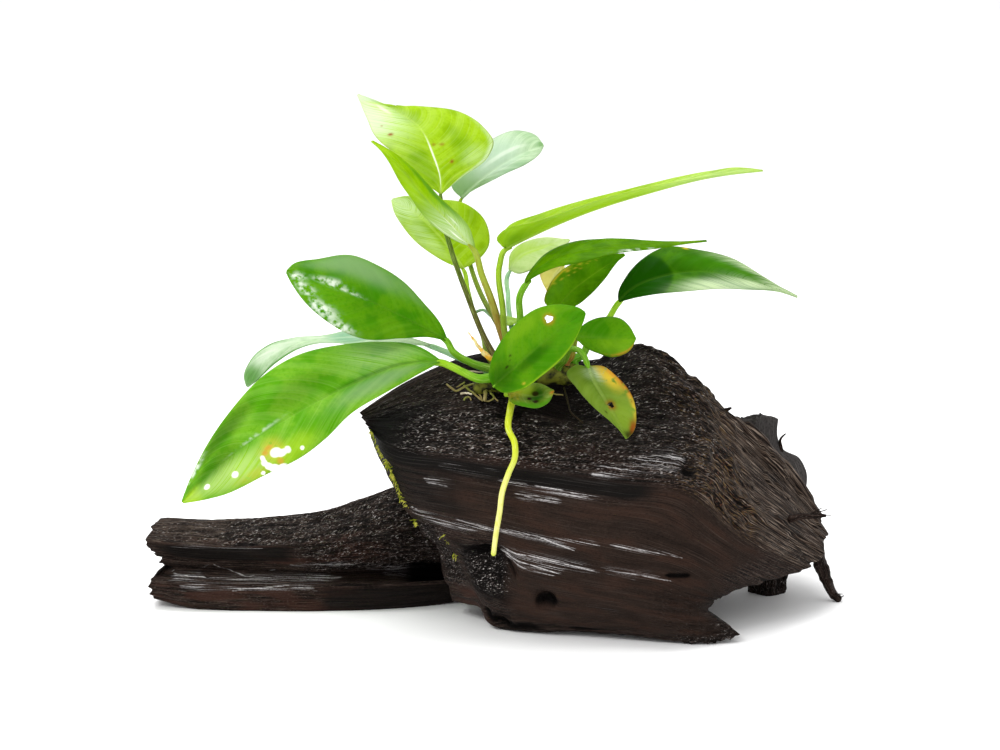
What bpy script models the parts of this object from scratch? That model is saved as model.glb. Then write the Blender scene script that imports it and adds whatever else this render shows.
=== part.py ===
"""Anubias frazeri growing on a piece of driftwood.

The wood is one broad block with a low limb at its left and a thin limb
behind it. The rhizome lies on the block's sloping top, and every leaf has
its own stalk, which is seated on the rhizome. Points are in millimetres:
X to the right, Y away from the viewer, Z up, with the floor at Z = 0.
"""
import math

import bmesh
import bpy
import numpy as np
from mathutils import Vector

MM = 0.001

# Where the middle of the object's footprint lies in the points' own frame
FOOTPRINT_MIDDLE = (0.0, -0.4)

GAP = 0.35
BLADE_THICKNESS = 0.8
BLADE_NARROWEST = 0.55
BLADE_COLUMNS = 4
BLADE_ROW_LENGTH = 6.5
BLADE_ROWS_LEAST = 5
BLADE_END_SHARE = 0.1
STALK_RINGS = 6
STALK_CLEARANCE = 1.0
ROOT_RADIUS = 1.25
FINE_ROOT_RADIUS = 0.5

# The rhizome's centre line and its radius at each point
RHIZOME = [(-4, -12, 81), (6, -10, 83.5), (16, -7, 85), (26, -4.5, 84.5), (32, -3, 83.5)]
RHIZOME_RADII = [2.2, 3.9, 4.5, 4.1, 2.2]

# Long edges of the block, from its left end to its right end
BLOCK_EDGES = {
    "ridge": [(-44, -8, 73), (-30, 0, 81), (-7, 8, 89), (14, 10, 90), (33, 10, 86),
              (52, 10, 92), (69, 12, 81), (89, 18, 54), (116, 24, 27)],
    "shoulder": [(-42, -16, 71), (-32, -16, 73), (-12, -14, 76), (8, -14, 76), (28, -14, 72),
                 (49, -14, 74), (71, -12, 68), (91, -4, 47), (119, 10, 22)],
    "brow": [(-41, -20, 68), (-34, -30, 65), (-17, -36, 64), (3, -40, 62), (23, -42, 60),
             (46, -42, 57), (67, -40, 54), (83, -34, 38), (110, -10, 17)],
    "lip": [(-30, -22, 42), (-22, -32, 43), (-7, -40, 42), (10, -44, 39), (28, -46, 35),
            (46, -46, 31), (63, -45, 27), (72, -40, 21), (81, -28, 14)],
    "chin": [(-19, -18, 27), (-12, -28, 27), (-4, -36, 25), (10, -42, 22), (28, -45, 19),
             (46, -48, 17), (58, -50, 15), (67, -47, 13), (73, -38, 10)],
    "foot": [(-12, -12, 13), (-4, -18, 8), (4, -26, 1), (14, -35, 0), (30, -39, 0),
             (45, -42, 0), (60, -44, 0), (73, -44, 0), (85, -42, 3)],
    "belly": [(-8, 2, 8), (2, -4, 1), (10, -10, -1), (18, -12, -1), (30, -12, -1),
              (44, -12, -1), (54, -14, -1), (60, -16, 0), (66, -20, 2)],
    "heel": [(-10, 18, 5), (-4, 23, 0), (6, 25, -1), (18, 26, -1), (30, 26, -1),
             (44, 26, -1), (56, 25, -1), (63, 23, 0), (68, 20, 3)],
    "low_rear": [(-20, 22, 24), (-12, 31, 25), (0, 35, 26), (15, 37, 27), (30, 38, 28),
                 (48, 38, 28), (68, 37, 28), (88, 36, 25), (106, 34, 19)],
    "high_rear": [(-40, 6, 60), (-28, 18, 66), (-8, 26, 69), (14, 28, 68), (32, 29, 64),
                  (50, 30, 68), (70, 31, 60), (92, 33, 42), (115, 31, 24)],
}
BLOCK_LEFT_HOLLOW = (-20, 2, 38)
BLOCK_RIGHT_HOLLOW = (64, 2, 7)
# Hollows in the block's face: place, radius and depth
BLOCK_DENTS = [((0, -38, 29), 8, 3.5), ((19, -43, 16), 4.5, 2.5)]

# Long edges of the left limb, from its broken end into the block
LIMB_EDGES = {
    "top": [(-116, 20, 27), (-101, 18, 27), (-81, 18, 27), (-60, 18, 29), (-46, 20, 34),
            (-32, 22, 38), (-4, 22, 33)],
    "brow": [(-122, 4, 23), (-102, 2, 22), (-81, 1, 22), (-60, 1, 22), (-42, 2, 24),
             (-25, 6, 22), (0, 10, 20)],
    "groove_top": [(-118, 5, 17), (-100, 3, 15), (-81, 2, 15), (-60, 2, 14), (-41, 6, 15),
                   (-25, 10, 14), (0, 13, 12)],
    "groove": [(-115, 13, 11), (-101, 11, 9), (-82, 10, 9), (-60, 11, 9), (-39, 15, 8),
               (-22, 17, 7), (0, 17, 8)],
    "slab_top": [(-121, -2, 12), (-100, -4, 9), (-81, -4, 9), (-60, -4, 9), (-39, -3, 9),
                 (-18, 1, 9), (-1, 7, 8)],
    "slab_foot": [(-120, 0, 3), (-102, -3, 0), (-81, -4, -1), (-60, -4, -1), (-39, -2, -1),
                  (-18, 3, 0), (-2, 9, 2)],
    "back_foot": [(-113, 28, 4), (-100, 29, 0), (-81, 29, -1), (-60, 28, -1), (-40, 28, -1),
                  (-20, 27, 0), (-2, 23, 3)],
    "back": [(-111, 34, 16), (-100, 35, 15), (-81, 35, 14), (-60, 35, 15), (-42, 35, 18),
             (-26, 33, 22), (-4, 28, 20)],
}
LIMB_LEFT_HOLLOW = (-112, 16, 15)
LIMB_RIGHT_HOLLOW = (2, 18, 16)

# Long edges of the limb behind the block, from its foot to its broken top
REAR_LIMB_EDGES = {
    "left": [(92, 19, 0), (91, 28, 12), (90, 38, 24), (88, 45, 40), (89, 47, 52), (91, 47, 58)],
    "front": [(99, 12, 0), (100, 20, 10), (100, 32, 24), (100, 40, 38), (99, 42, 50), (98, 43, 58)],
    "right": [(106, 18, 0), (108, 28, 12), (112, 40, 26), (113, 46, 40), (107, 47, 49),
              (104, 47, 57)],
    "back": [(99, 27, 0), (100, 36, 12), (101, 46, 24), (101, 51, 40), (99, 51, 50),
             (98, 50, 57)],
}
REAR_LIMB_BOTTOM = (99, 19, 0)
REAR_LIMB_TOP = (98, 46.5, 56)

SPLINTER = [(112, 12, 21), (114, 10, 17.5), (116.5, 9, 10.5), (119, 8, 4), (122.5, 7, 1)]
SPLINTER_RADII = [2.6, 2.4, 1.9, 1.5, 0.5]

HANGING_ROOT = [(8, -13.6, 80.8), (7.5, -18, 79), (6.5, -27, 76.5), (6, -37, 72.3), (8, -43.5, 69),
                (8, -47, 65), (6, -47.5, 60), (4, -47.5, 54), (3, -49, 47), (2, -49.5, 41),
                (1, -49, 33)]
FINE_ROOTS = {
    "fine_root_1": [(-6.4, -11, 81.2), (-9, -10, 80.6), (-12, -10, 79.8), (-15, -7.5, 82)],
    "fine_root_2": [(-9, -12.4, 78.8), (-6.5, -14.3, 77.8), (-3.5, -17.5, 75.8)],
    "fine_root_3": [(0, -15.6, 80.2), (-1, -18, 77.5), (-1.5, -20, 75)],
    "fine_root_4": [(25, -9, 80.5), (26, -14, 77.5), (27, -19, 74.5), (31, -23, 71.5)],
}
SHEATH = [(0.3, -11, 91), (-1.5, -11.5, 92.3), (-4, -12, 94.8), (-7, -12.5, 98.5)]
SHEATH_RADII = [1.2, 1.4, 1.1, 0.3]
MOSS = [(-42, -21.5, 66), (-36.5, -24, 60), (-33, -25, 53), (-30.5, -23.5, 45)]
MOSS_RADII = [1.2, 2.3, 2.5, 1.6]

# One entry for each leaf. seat is the place along X and the angle round the
# rhizome, from straight up towards the back, where the stalk sits. stalk goes
# from there to the blade, whose midrib runs from its base to its tip. left and
# right are the margins between the two, as seen on the upper side with the
# tip up. arch bows each half up, as a share of its width, and wave ripples it.
LEAVES = {
    "low_left": {
        "seat": (1.5, -80), "radii": (1.8, 1.4), "arch": 0.07, "wave": 0.5,
        "stalk": [(-4, -17, 85.3), (-10, -15, 87.3), (-15, -14, 89.8)],
        "midrib": [(-20, -15, 91.5), (-30.5, -20, 90.5), (-43.5, -26, 86.5), (-56.5, -33, 81.5),
                   (-69.5, -39, 75), (-82.5, -44, 67), (-92.5, -47, 59.5), (-101.5, -49, 50.5)],
        "left": [(-24, -21.5, 88), (-35, -29.5, 83), (-46.5, -37, 77.5), (-54.5, -44, 71),
                 (-62.5, -48.5, 65.5), (-73, -51, 60.5), (-88, -51.5, 53.5)],
        "right": [(-24.5, -12.5, 95.5), (-37.5, -13.5, 97.5), (-51, -16, 97), (-64, -21, 94.5),
                  (-76.5, -27.5, 88), (-86, -34.5, 79), (-92.5, -40.5, 70.5), (-98.5, -45.5, 59)],
    },
    "upper_left": {
        "seat": (4, -40), "radii": (1.6, 1.3), "arch": 0.07, "wave": 0.4,
        "stalk": [(0, -11.3, 87.6), (-7, -9, 89.3), (-13, -8, 93)],
        "midrib": [(-15, -8, 97), (-24, -9, 102), (-36, -11, 108.5), (-49, -14, 115),
                   (-60.5, -16, 119.5), (-68.5, -17, 122)],
        "left": [(-19.5, -9.5, 98), (-30.5, -16.5, 99), (-42, -24, 100.5), (-50, -26.5, 104),
                 (-59.5, -25.5, 110.5), (-66.5, -20, 118.5)],
        "right": [(-17, -6.5, 102), (-22.5, -5, 109), (-29, -4.5, 116), (-38.5, -5, 122),
                  (-47.5, -6.5, 126), (-58, -11, 125.5), (-66.5, -15, 124)],
    },
    "back_left": {
        "seat": (-1, 38), "radii": (1.2, 1), "arch": 0.05, "wave": 0.3,
        "stalk": [(-5.2, -4, 87.3), (-12, 2, 89), (-17, 8, 90)],
        "midrib": [(-21, 10, 91.5), (-30, 14, 93), (-46, 22, 92), (-60.5, 28, 89.5), (-71.5, 31, 87),
                   (-80.5, 33, 81.5), (-87, 34, 71.5)],
        "left": [(-31.5, 13, 91), (-46, 20, 89.5), (-60, 24, 89.5), (-67.5, 28, 86.5),
                 (-76.5, 31, 80.5), (-83.5, 33, 74)],
        "right": [(-31.5, 16, 94), (-46, 25, 94.5), (-60.5, 33, 90), (-69.5, 34, 89.5),
                  (-79.5, 35, 86.5), (-86, 36, 80.5), (-88, 35, 75)],
    },
    "top_folded": {
        "seat": (3.5, 0), "radii": (1.2, 0.95), "arch": 0.05, "wave": 0.4,
        "stalk": [(1.5, -8.2, 91), (-1, -6, 95), (-8, -1, 111), (-14, 2, 128), (-16.5, 2, 138)],
        "midrib": [(-17, 3, 145.5), (-17.5, 8, 151), (-20, 13, 157.5), (-24, 20, 165), (-31.5, 27, 170),
                   (-46.5, 36, 175.5)],
        "left": [(-22.5, 4, 150.5), (-31.5, 6.5, 158), (-38, 9, 163), (-43, 22.5, 169)],
        "right": [(-10.5, 7, 150), (-0.5, 13, 157.5), (1, 16.5, 161.5), (-2.5, 20, 166),
                  (-10.5, 24.5, 170.5), (-23, 28, 172.5), (-37, 30, 172.5)],
    },
    "top_side": {
        "seat": (8.5, 0), "radii": (1.8, 1.3), "arch": 0.05, "wave": 0.3,
        "stalk": [(6, -6.5, 93), (3.7, -5.5, 99), (0, -6, 111), (-3, -6, 119)],
        "midrib": [(-5.5, -6, 128.5), (-12, -9, 136.5), (-21, -14, 146.5), (-29.5, -19, 158),
                   (-34.5, -22, 163.5), (-39, -25, 167)],
        "left": [(-7, -13, 136), (-16.5, -18.5, 147.5), (-26, -22, 158), (-32.5, -23.5, 163.5)],
        "right": [(-10.5, -3, 129.5), (-20.5, -2.5, 136.5), (-29, -9.5, 148.5), (-34, -17.5, 159.5)],
    },
    "top_back": {
        "seat": (5, 60), "radii": (1, 0.8), "arch": 0.05, "wave": 0.2,
        "stalk": [(6, 0.5, 94), (2.5, 1.5, 100), (-4, 13, 110), (-8, 25, 120), (-10, 34, 132)],
        "midrib": [(-10.5, 37, 139), (-4, 40, 144.5), (5, 43, 150.5), (18.5, 47, 156.5)],
        "left": [(-14, 40.5, 142.5), (-9.5, 46, 150.5), (-1, 49.5, 157.5), (9, 51.5, 161),
                 (16, 49.5, 159.5)],
        "right": [(-4.5, 38, 142.5), (5, 39.5, 147), (12.5, 41, 150.5), (17.5, 44.5, 154)],
    },
    "round_back": {
        "seat": (2, 55), "radii": (0.95, 0.75), "arch": 0.05, "wave": 0.2,
        "stalk": [(-1.5, -2.6, 91.5), (-2.5, 0, 96), (-6, 6, 104), (-8, 10, 111)],
        "midrib": [(-9.5, 15, 117.5), (-14, 18, 123.5), (-20.5, 21, 130.5), (-28, 24, 136.5),
                   (-34.5, 26, 140)],
        "left": [(-14, 14.5, 119), (-23, 14.5, 124.5), (-30, 17.5, 131), (-34, 22.5, 137)],
        "right": [(-6, 17, 119), (-0.5, 23, 125), (-2.5, 28, 133), (-9, 29.5, 138), (-21.5, 28.5, 140),
                  (-30, 27.5, 141)],
    },
    "long_right": {
        "seat": (11, -25), "radii": (1.15, 1), "arch": 0.05, "wave": 0.2,
        "stalk": [(8, -12.6, 91.5), (5.4, -11, 97), (4, -7.4, 108), (3, -4, 122)],
        "midrib": [(4.5, -4, 128), (13.5, -1, 132), (30.5, 7, 138), (55, 18, 144), (76.5, 26, 148),
                   (95, 31, 149.5)],
        "left": [(3, 3, 129.5), (6, 8, 133.5), (17, 10, 137.5), (34, 16, 142), (55.5, 24, 146),
                 (76.5, 30, 149.5), (85.5, 32, 150.5)],
        "right": [(2, -9, 132), (4, -12, 135), (15, -10, 138), (33.5, -2, 143), (54.5, 11, 146.5),
                  (76, 22, 149)],
    },
    "pale_back": {
        "seat": (11, 45), "radii": (1, 0.8), "arch": 0.05, "wave": 0.2,
        "stalk": [(9, 1, 93), (7.5, 6, 97), (6.5, 14, 101), (6, 25, 106)],
        "midrib": [(6.5, 35, 113.5), (10, 37, 118), (17.5, 41, 120.5), (28, 46, 122.5)],
        "left": [(6.5, 38.5, 118), (11, 43, 122), (19, 45.5, 123.5), (24.5, 46.5, 123)],
        "right": [(9.5, 33, 112.5), (15, 32, 114.5), (21, 37, 117), (25.5, 42, 120)],
    },
    "arch_right": {
        "seat": (15.5, 0), "radii": (1.3, 1.1), "arch": 0.07, "wave": 0.3,
        "stalk": [(12, -7, 92), (10, -8, 97), (10, -9, 105), (10, -11, 113)],
        "midrib": [(11.5, -12, 117.5), (16.5, -12.5, 123), (25, -13, 127), (36.5, -14, 129.5),
                   (53.5, -15, 130.5), (72.5, -14, 132)],
        "left": [(12.5, -9.5, 119.5), (17.5, -7, 125.5), (27, -5.5, 130), (38.5, -7.5, 132),
                 (55.5, -12, 131.5)],
        "right": [(14.5, -14, 119.5), (21.5, -17.5, 123.5), (31.5, -20, 126), (44, -18.5, 128.5),
                  (60, -16.5, 130.5)],
    },
    "mid_right": {
        "seat": (20, 15), "radii": (1.2, 1), "arch": 0.05, "wave": 0.2,
        "stalk": [(20, -3, 91), (19, 0, 96), (19, 2, 101)],
        "midrib": [(22.5, 2, 105.5), (26.5, 3, 110.5), (33, 5, 115.5), (40, 7, 120), (46, 9, 123.5)],
        "left": [(18.5, 4, 107.5), (20, 6, 113), (24, 7.5, 118), (30.5, 9, 121.5), (38.5, 9, 123.5)],
        "right": [(28, 1, 106.5), (34, 2, 110.5), (39, 4.5, 115.5), (42.5, 6.5, 120)],
    },
    "far_right": {
        "seat": (29, 10), "radii": (1.2, 1), "arch": 0.07, "wave": 0.4,
        "stalk": [(30.5, -3, 90), (34, -3.5, 96), (40, -5, 103.5)],
        "midrib": [(43.5, -6, 110), (48.5, -8, 115), (58, -9, 119), (71, -8, 120.5), (86.5, -4, 117),
                   (105, 2, 110)],
        "left": [(43.5, -4.5, 112.5), (46, -3.5, 118), (51.5, -1.5, 123.5), (59.5, -0, 127.5),
                 (70.5, 0, 127), (81, 1.5, 124), (92.5, 1.5, 117.5)],
        "right": [(48, -9.5, 111.5), (57, -13.5, 114), (70.5, -14, 115), (84.5, -8.5, 114.5),
                  (97, -1.5, 112.5)],
    },
    "front_centre": {
        "seat": (8, -60), "radii": (1.3, 1.1), "arch": 0.07, "wave": 0.3,
        "stalk": [(6, -16, 85.8), (3.5, -22, 83.8), (2, -27, 83.5)],
        "midrib": [(1, -30, 85.5), (7, -32.5, 91.5), (14.5, -36, 99), (23, -40, 107), (31, -43, 113)],
        "left": [(-0.5, -28.5, 88), (0, -28.5, 93), (3, -29.5, 100), (9, -32, 108), (16.5, -36, 113.5),
                 (24.5, -39.5, 115), (29.5, -42, 114)],
        "right": [(4, -32.5, 84), (10, -36, 85.5), (16.5, -39, 90.5), (23.5, -42.5, 97.5),
                  (28.5, -44, 105.5), (30.5, -43.5, 110.5)],
    },
    "small_oval": {
        "seat": (26, -20), "radii": (1.1, 0.9), "arch": 0.05, "wave": 0.2,
        "stalk": [(27, -7, 90.5), (28, -9, 94), (28.5, -11.5, 97)],
        "midrib": [(28.5, -14, 99), (34, -17, 99.5), (41, -21, 100), (48.5, -25, 100.5)],
        "left": [(30, -11.5, 101.5), (35.5, -11.5, 105), (42.5, -14, 106), (47, -20, 103.5)],
        "right": [(31, -18, 97), (35.5, -23.5, 95.5), (41, -28, 95), (46.5, -28.5, 97.5)],
    },
    "yellow_hanging": {
        "seat": (23, -45), "radii": (1.2, 1), "arch": 0.06, "wave": 0.2,
        "stalk": [(25, -12, 91), (26.5, -16, 95), (30, -23, 96)],
        "midrib": [(32.5, -31, 92.5), (34, -35, 89), (37.5, -39, 83.5), (41.5, -43, 77.5),
                   (45, -46, 71.5)],
        "left": [(28, -29.5, 92.5), (25.5, -29.5, 90.5), (28.5, -34.5, 86), (34, -39, 80.5),
                 (40, -43, 76)],
        "right": [(36.5, -32, 93), (42, -36, 90), (46.5, -40, 85), (48, -43.5, 80), (47, -45.5, 73.5)],
    },
    "spotted_low": {
        "seat": (13, -100), "radii": (1.1, 0.9), "arch": 0.05, "wave": 0.2,
        "stalk": [(11.5, -16.5, 80.5), (8.5, -20, 81), (5.2, -23.3, 81.3)],
        "midrib": [(6, -26, 82.5), (10, -29, 82.5), (15, -32, 82.5), (21, -35, 85)],
        "left": [(8, -23.5, 85), (13, -25.5, 86), (18, -30.5, 86)],
        "right": [(6.5, -30.5, 80.5), (10.5, -34, 79.5), (15.5, -36.5, 79.5), (19.5, -37.5, 82)],
    },
    "withered": {
        "seat": (18, 45), "radii": (0.65, 0.4), "arch": 0.08, "wave": 0.2,
        "stalk": [(18.5, 4, 92), (21, 8, 97), (26, 13, 107), (29.5, 17, 115), (28.5, 16.8, 122)],
        "midrib": [(25.5, 17, 119.5), (23.5, 17.5, 116.5), (21, 18, 112.5), (20, 18.5, 108.5)],
        "left": [(22, 18, 119), (17, 19.5, 115.5), (18, 19, 111.5)],
        "right": [(25.5, 16, 117), (24.5, 16, 115), (22, 17.5, 111)],
    },
    "sprout": {
        "seat": (3, 85), "radii": (0.6, 0.5), "arch": 0.05, "wave": 0.1,
        "stalk": [(-1, 0, 91.5), (-4, 6, 98), (-5.5, 9, 103), (-3, 9.5, 104)],
        "midrib": [(1, 9, 101.5), (4, 8.5, 101), (7.5, 8, 100.5), (10.5, 7.5, 101)],
        "left": [(3, 9.5, 102), (7.5, 9, 101.5)],
        "right": [(4, 7, 99), (6.5, 6.5, 99), (9, 7, 100)],
    },
}

# Colours of the finishes, as sRGB hex values, with roughness
FINISHES = {
    "wet_driftwood": ("1c1512", 0.35),
    "fresh_blade": ("7fb414", 0.35),
    "dark_blade": ("2e7d12", 0.3),
    "pale_blade": ("a9cf7c", 0.4),
    "yellow_blade": ("b3a62a", 0.4),
    "green_stalk": ("5f8f1c", 0.4),
    "red_stalk": ("8a5a2c", 0.4),
    "rhizome_skin": ("5b5a23", 0.5),
    "root_skin": ("b7c43e", 0.45),
    "dry_sheath": ("d9a44c", 0.6),
    "moss": ("93ad2a", 0.9),
}
BLADE_FINISH = {
    "low_left": "dark_blade", "upper_left": "dark_blade", "back_left": "pale_blade",
    "top_back": "pale_blade", "pale_back": "pale_blade", "arch_right": "dark_blade",
    "mid_right": "dark_blade", "far_right": "dark_blade", "front_centre": "dark_blade",
    "yellow_hanging": "yellow_blade", "spotted_low": "yellow_blade",
    "withered": "yellow_blade",
}
STALK_FINISH = {"top_side": "red_stalk", "round_back": "red_stalk", "small_oval": "red_stalk"}


def clear_scene():
    for old in list(bpy.data.objects):
        bpy.data.objects.remove(old, do_unlink=True)


def new_collection(name):
    group = bpy.data.collections.new(name)
    bpy.context.scene.collection.children.link(group)
    return group


def linear(channel):
    return channel / 12.92 if channel <= 0.04045 else ((channel + 0.055) / 1.055) ** 2.4


def finish_material(name):
    """Return the Principled material of a finish, made on first use."""
    known = bpy.data.materials.get(name)
    if known:
        return known
    code, roughness = FINISHES[name]
    colour = [linear(int(code[i:i + 2], 16) / 255) for i in (0, 2, 4)]
    material = bpy.data.materials.new(name)
    material.use_nodes = True
    shader = material.node_tree.nodes["Principled BSDF"]
    shader.inputs["Base Color"].default_value = (*colour, 1)
    shader.inputs["Roughness"].default_value = roughness
    shader.inputs["Metallic"].default_value = 0.0
    return material


def unit(vectors):
    return vectors / np.linalg.norm(vectors, axis=-1, keepdims=True)


def smooth_path(points, places):
    """Read a smooth curve through points at places from 0 to 1 of its chord length."""
    p = np.array(points, float)
    chords = np.diff(p, axis=0)
    lengths = np.linalg.norm(chords, axis=1)
    marks = np.concatenate([[0], np.cumsum(lengths)])
    secants = chords / lengths[:, None]
    slopes = np.empty_like(p)
    weights = lengths[1:, None] / (lengths[:-1] + lengths[1:])[:, None]
    slopes[1:-1] = secants[:-1] * weights + secants[1:] * (1 - weights)
    slopes[0] = 1.5 * secants[0] - 0.5 * slopes[1]
    slopes[-1] = 1.5 * secants[-1] - 0.5 * slopes[-2]
    reach = np.clip(places, 0, 1) * marks[-1]
    k = np.clip(np.searchsorted(marks, reach, side="right") - 1, 0, len(lengths) - 1)
    h = lengths[k][:, None]
    u = ((reach - marks[k]) / lengths[k])[:, None]
    return ((2 * u**3 - 3 * u**2 + 1) * p[k] + (u**3 - 2 * u**2 + u) * h * slopes[k]
            + (3 * u**2 - 2 * u**3) * p[k + 1] + (u**3 - u**2) * h * slopes[k + 1])


def path_place(points, index):
    """Return how far along the chord length, from 0 to 1, a point of a path lies."""
    lengths = np.linalg.norm(np.diff(np.array(points, float), axis=0), axis=1)
    return lengths[:index].sum() / lengths.sum()


def place_part(thing, finish, group, root):
    """Give an object its finish, put it in the collection and hang it on the root."""
    thing.data.materials.clear()
    thing.data.materials.append(finish_material(finish))
    group.objects.link(thing)
    thing.parent = root


def tube_curve(name, points, radii, sides_level, rings):
    """Make a round tube with filled caps that follows a smooth path."""
    places = np.linspace(0, 1, rings + 1)
    centres = smooth_path(points, places)
    marks = [path_place(points, i) for i in range(len(points))]
    if len(radii) == 2:
        marks = [0, 1]
    widths = np.interp(places, marks, radii)
    curve = bpy.data.curves.new(name, "CURVE")
    curve.dimensions = "3D"
    curve.bevel_depth = MM
    curve.bevel_resolution = sides_level
    curve.use_fill_caps = True
    spline = curve.splines.new("POLY")
    spline.points.add(rings)
    for point, centre, width in zip(spline.points, centres, widths):
        point.co = (*(centre * MM), 1)
        point.radius = width
    return bpy.data.objects.new(name, curve)


def mesh_from_curve(tube):
    """Turn a tube's curve into a closed mesh object of the same name."""
    bpy.context.scene.collection.objects.link(tube)
    bpy.context.view_layer.update()
    graph = bpy.context.evaluated_depsgraph_get()
    mesh = bpy.data.meshes.new_from_object(tube.evaluated_get(graph))
    name = tube.name
    bpy.data.objects.remove(tube)
    shape = bmesh.new()
    shape.from_mesh(mesh)
    bmesh.ops.remove_doubles(shape, verts=shape.verts, dist=0.00001)
    bmesh.ops.recalc_face_normals(shape, faces=shape.faces)
    shape.to_mesh(mesh)
    shape.free()
    mesh.name = name
    mesh.shade_smooth()
    return bpy.data.objects.new(name, mesh)


def make_cutter(name, thing, group, root):
    """Keep an object as a hidden cutter."""
    thing.name = name
    thing.hide_render = True
    thing.display_type = "WIRE"
    group.objects.link(thing)
    thing.parent = root
    return thing


def cut(thing, cutter):
    """Take a cutter's shape out of an object."""
    boolean = thing.modifiers.new("clear of " + cutter.name, "BOOLEAN")
    boolean.operation = "DIFFERENCE"
    boolean.solver = "EXACT"
    boolean.object = cutter


def grain_relief(along, around, size, seed):
    """Sum a few sine ridges that run mostly along the wood; around is 0 to 1 of a turn."""
    rng = np.random.default_rng(seed)
    relief = np.zeros(np.broadcast(along, around).shape)
    counts = [5, 7, 9, 11, 14, 17]
    for count in counts:
        length = rng.uniform(45, 110)
        phase = rng.uniform(0, 2 * math.pi)
        tilt = rng.choice([-1, 1])
        relief += np.sin(2 * math.pi * (count * around + tilt * along / length) + phase)
    return size * relief / math.sqrt(len(counts))


def broken_end(around, size, seed):
    """Return how far the splinters of a broken end stand out, all the way round."""
    rng = np.random.default_rng(seed)
    teeth = np.zeros_like(around)
    for count in (4, 9, 13):
        wave = (count * around + rng.uniform()) % 1
        teeth += (np.abs(2 * wave - 1) - 0.5) / math.sqrt(count / 4)
    return size * teeth


def wood_skin(edges, columns, per_edge, rounding, relief, seed, teeth=(0, 0), dents=()):
    """Loft a wood surface through its long edges.

    Each row of the result is one closed ring. Between two neighbouring edges
    the ring is a blend of a straight line and a smooth curve, pushed out
    along its normal by the grain's relief.
    """
    places = np.linspace(0, 1, columns)
    lines = np.array([smooth_path(line, places) for line in edges.values()])
    count = len(lines)
    turn = np.arange(count * per_edge) / per_edge
    k = turn.astype(int)
    f = (turn - k)[:, None, None]
    before, here, after, later = (lines[(k + step) % count] for step in (-1, 0, 1, 2))
    straight = here * (1 - f) + after * f
    curved = 0.5 * (2 * here + (after - before) * f
                    + (2 * before - 5 * here + 4 * after - later) * f**2
                    + (3 * here - before - 3 * after + later) * f**3)
    skin = straight * (1 - rounding) + curved * rounding
    skin = skin.transpose(1, 0, 2)
    around = (turn / count)[None, :]
    forward = unit(np.gradient(skin, axis=0))
    sideways = np.roll(skin, -1, axis=1) - np.roll(skin, 1, axis=1)
    outward = unit(np.cross(forward, sideways))
    if np.sum(outward * (skin - skin.mean(axis=1, keepdims=True))) < 0:
        outward = -outward
    along = skin.mean(axis=1)[:, :1]
    push = grain_relief(along, around, relief, seed)
    for centre, radius, depth in dents:
        away = np.linalg.norm(skin - np.array(centre, float), axis=2) / radius
        push = push - depth * np.exp(-away**2)
    start_fade = np.clip(1 - places / 0.12, 0, 1)[:, None]
    end_fade = np.clip(1 - (1 - places) / 0.12, 0, 1)[:, None]
    slip = (end_fade * broken_end(around, teeth[1], seed + 1)
            - start_fade * broken_end(around, teeth[0], seed + 2))
    skin = skin + outward * push[:, :, None] + forward * slip[:, :, None]
    skin[:, :, 2] = np.maximum(skin[:, :, 2], 0)
    return skin


def wood_object(name, skin, hollows, cap_rings=2):
    """Close a wood surface with two caps that sink to a hollow and make its object."""
    rings = [skin]
    for ring, hollow, at_start in ((skin[0], hollows[0], True), (skin[-1], hollows[1], False)):
        steps = np.arange(1, cap_rings + 1) / (cap_rings + 1)
        centre = np.array(hollow, float)
        inner = ring + (centre - ring) * steps[:, None, None]
        rings = [inner[::-1]] + rings if at_start else rings + [inner]
    grid = np.concatenate(rings)
    rows, sides = grid.shape[:2]
    points = np.concatenate([grid.reshape(-1, 3), np.array(hollows, float)]) * MM
    corner = np.arange(rows * sides).reshape(rows, sides)
    beside = np.roll(corner, -1, axis=1)
    quads = np.stack([corner[:-1], beside[:-1], beside[1:], corner[1:]], axis=-1).reshape(-1, 4)
    first, last = rows * sides, rows * sides + 1
    fans = [(beside[0, j], corner[0, j], first) for j in range(sides)]
    fans += [(corner[-1, j], beside[-1, j], last) for j in range(sides)]
    mesh = bpy.data.meshes.new(name)
    faces = [tuple(map(int, face)) for face in quads] + [tuple(map(int, face)) for face in fans]
    mesh.from_pydata([tuple(p) for p in points.tolist()], [], faces)
    shape = bmesh.new()
    shape.from_mesh(mesh)
    bmesh.ops.triangulate(shape, faces=shape.faces)
    bmesh.ops.recalc_face_normals(shape, faces=shape.faces)
    shape.to_mesh(mesh)
    shape.free()
    return bpy.data.objects.new(name, mesh)


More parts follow.
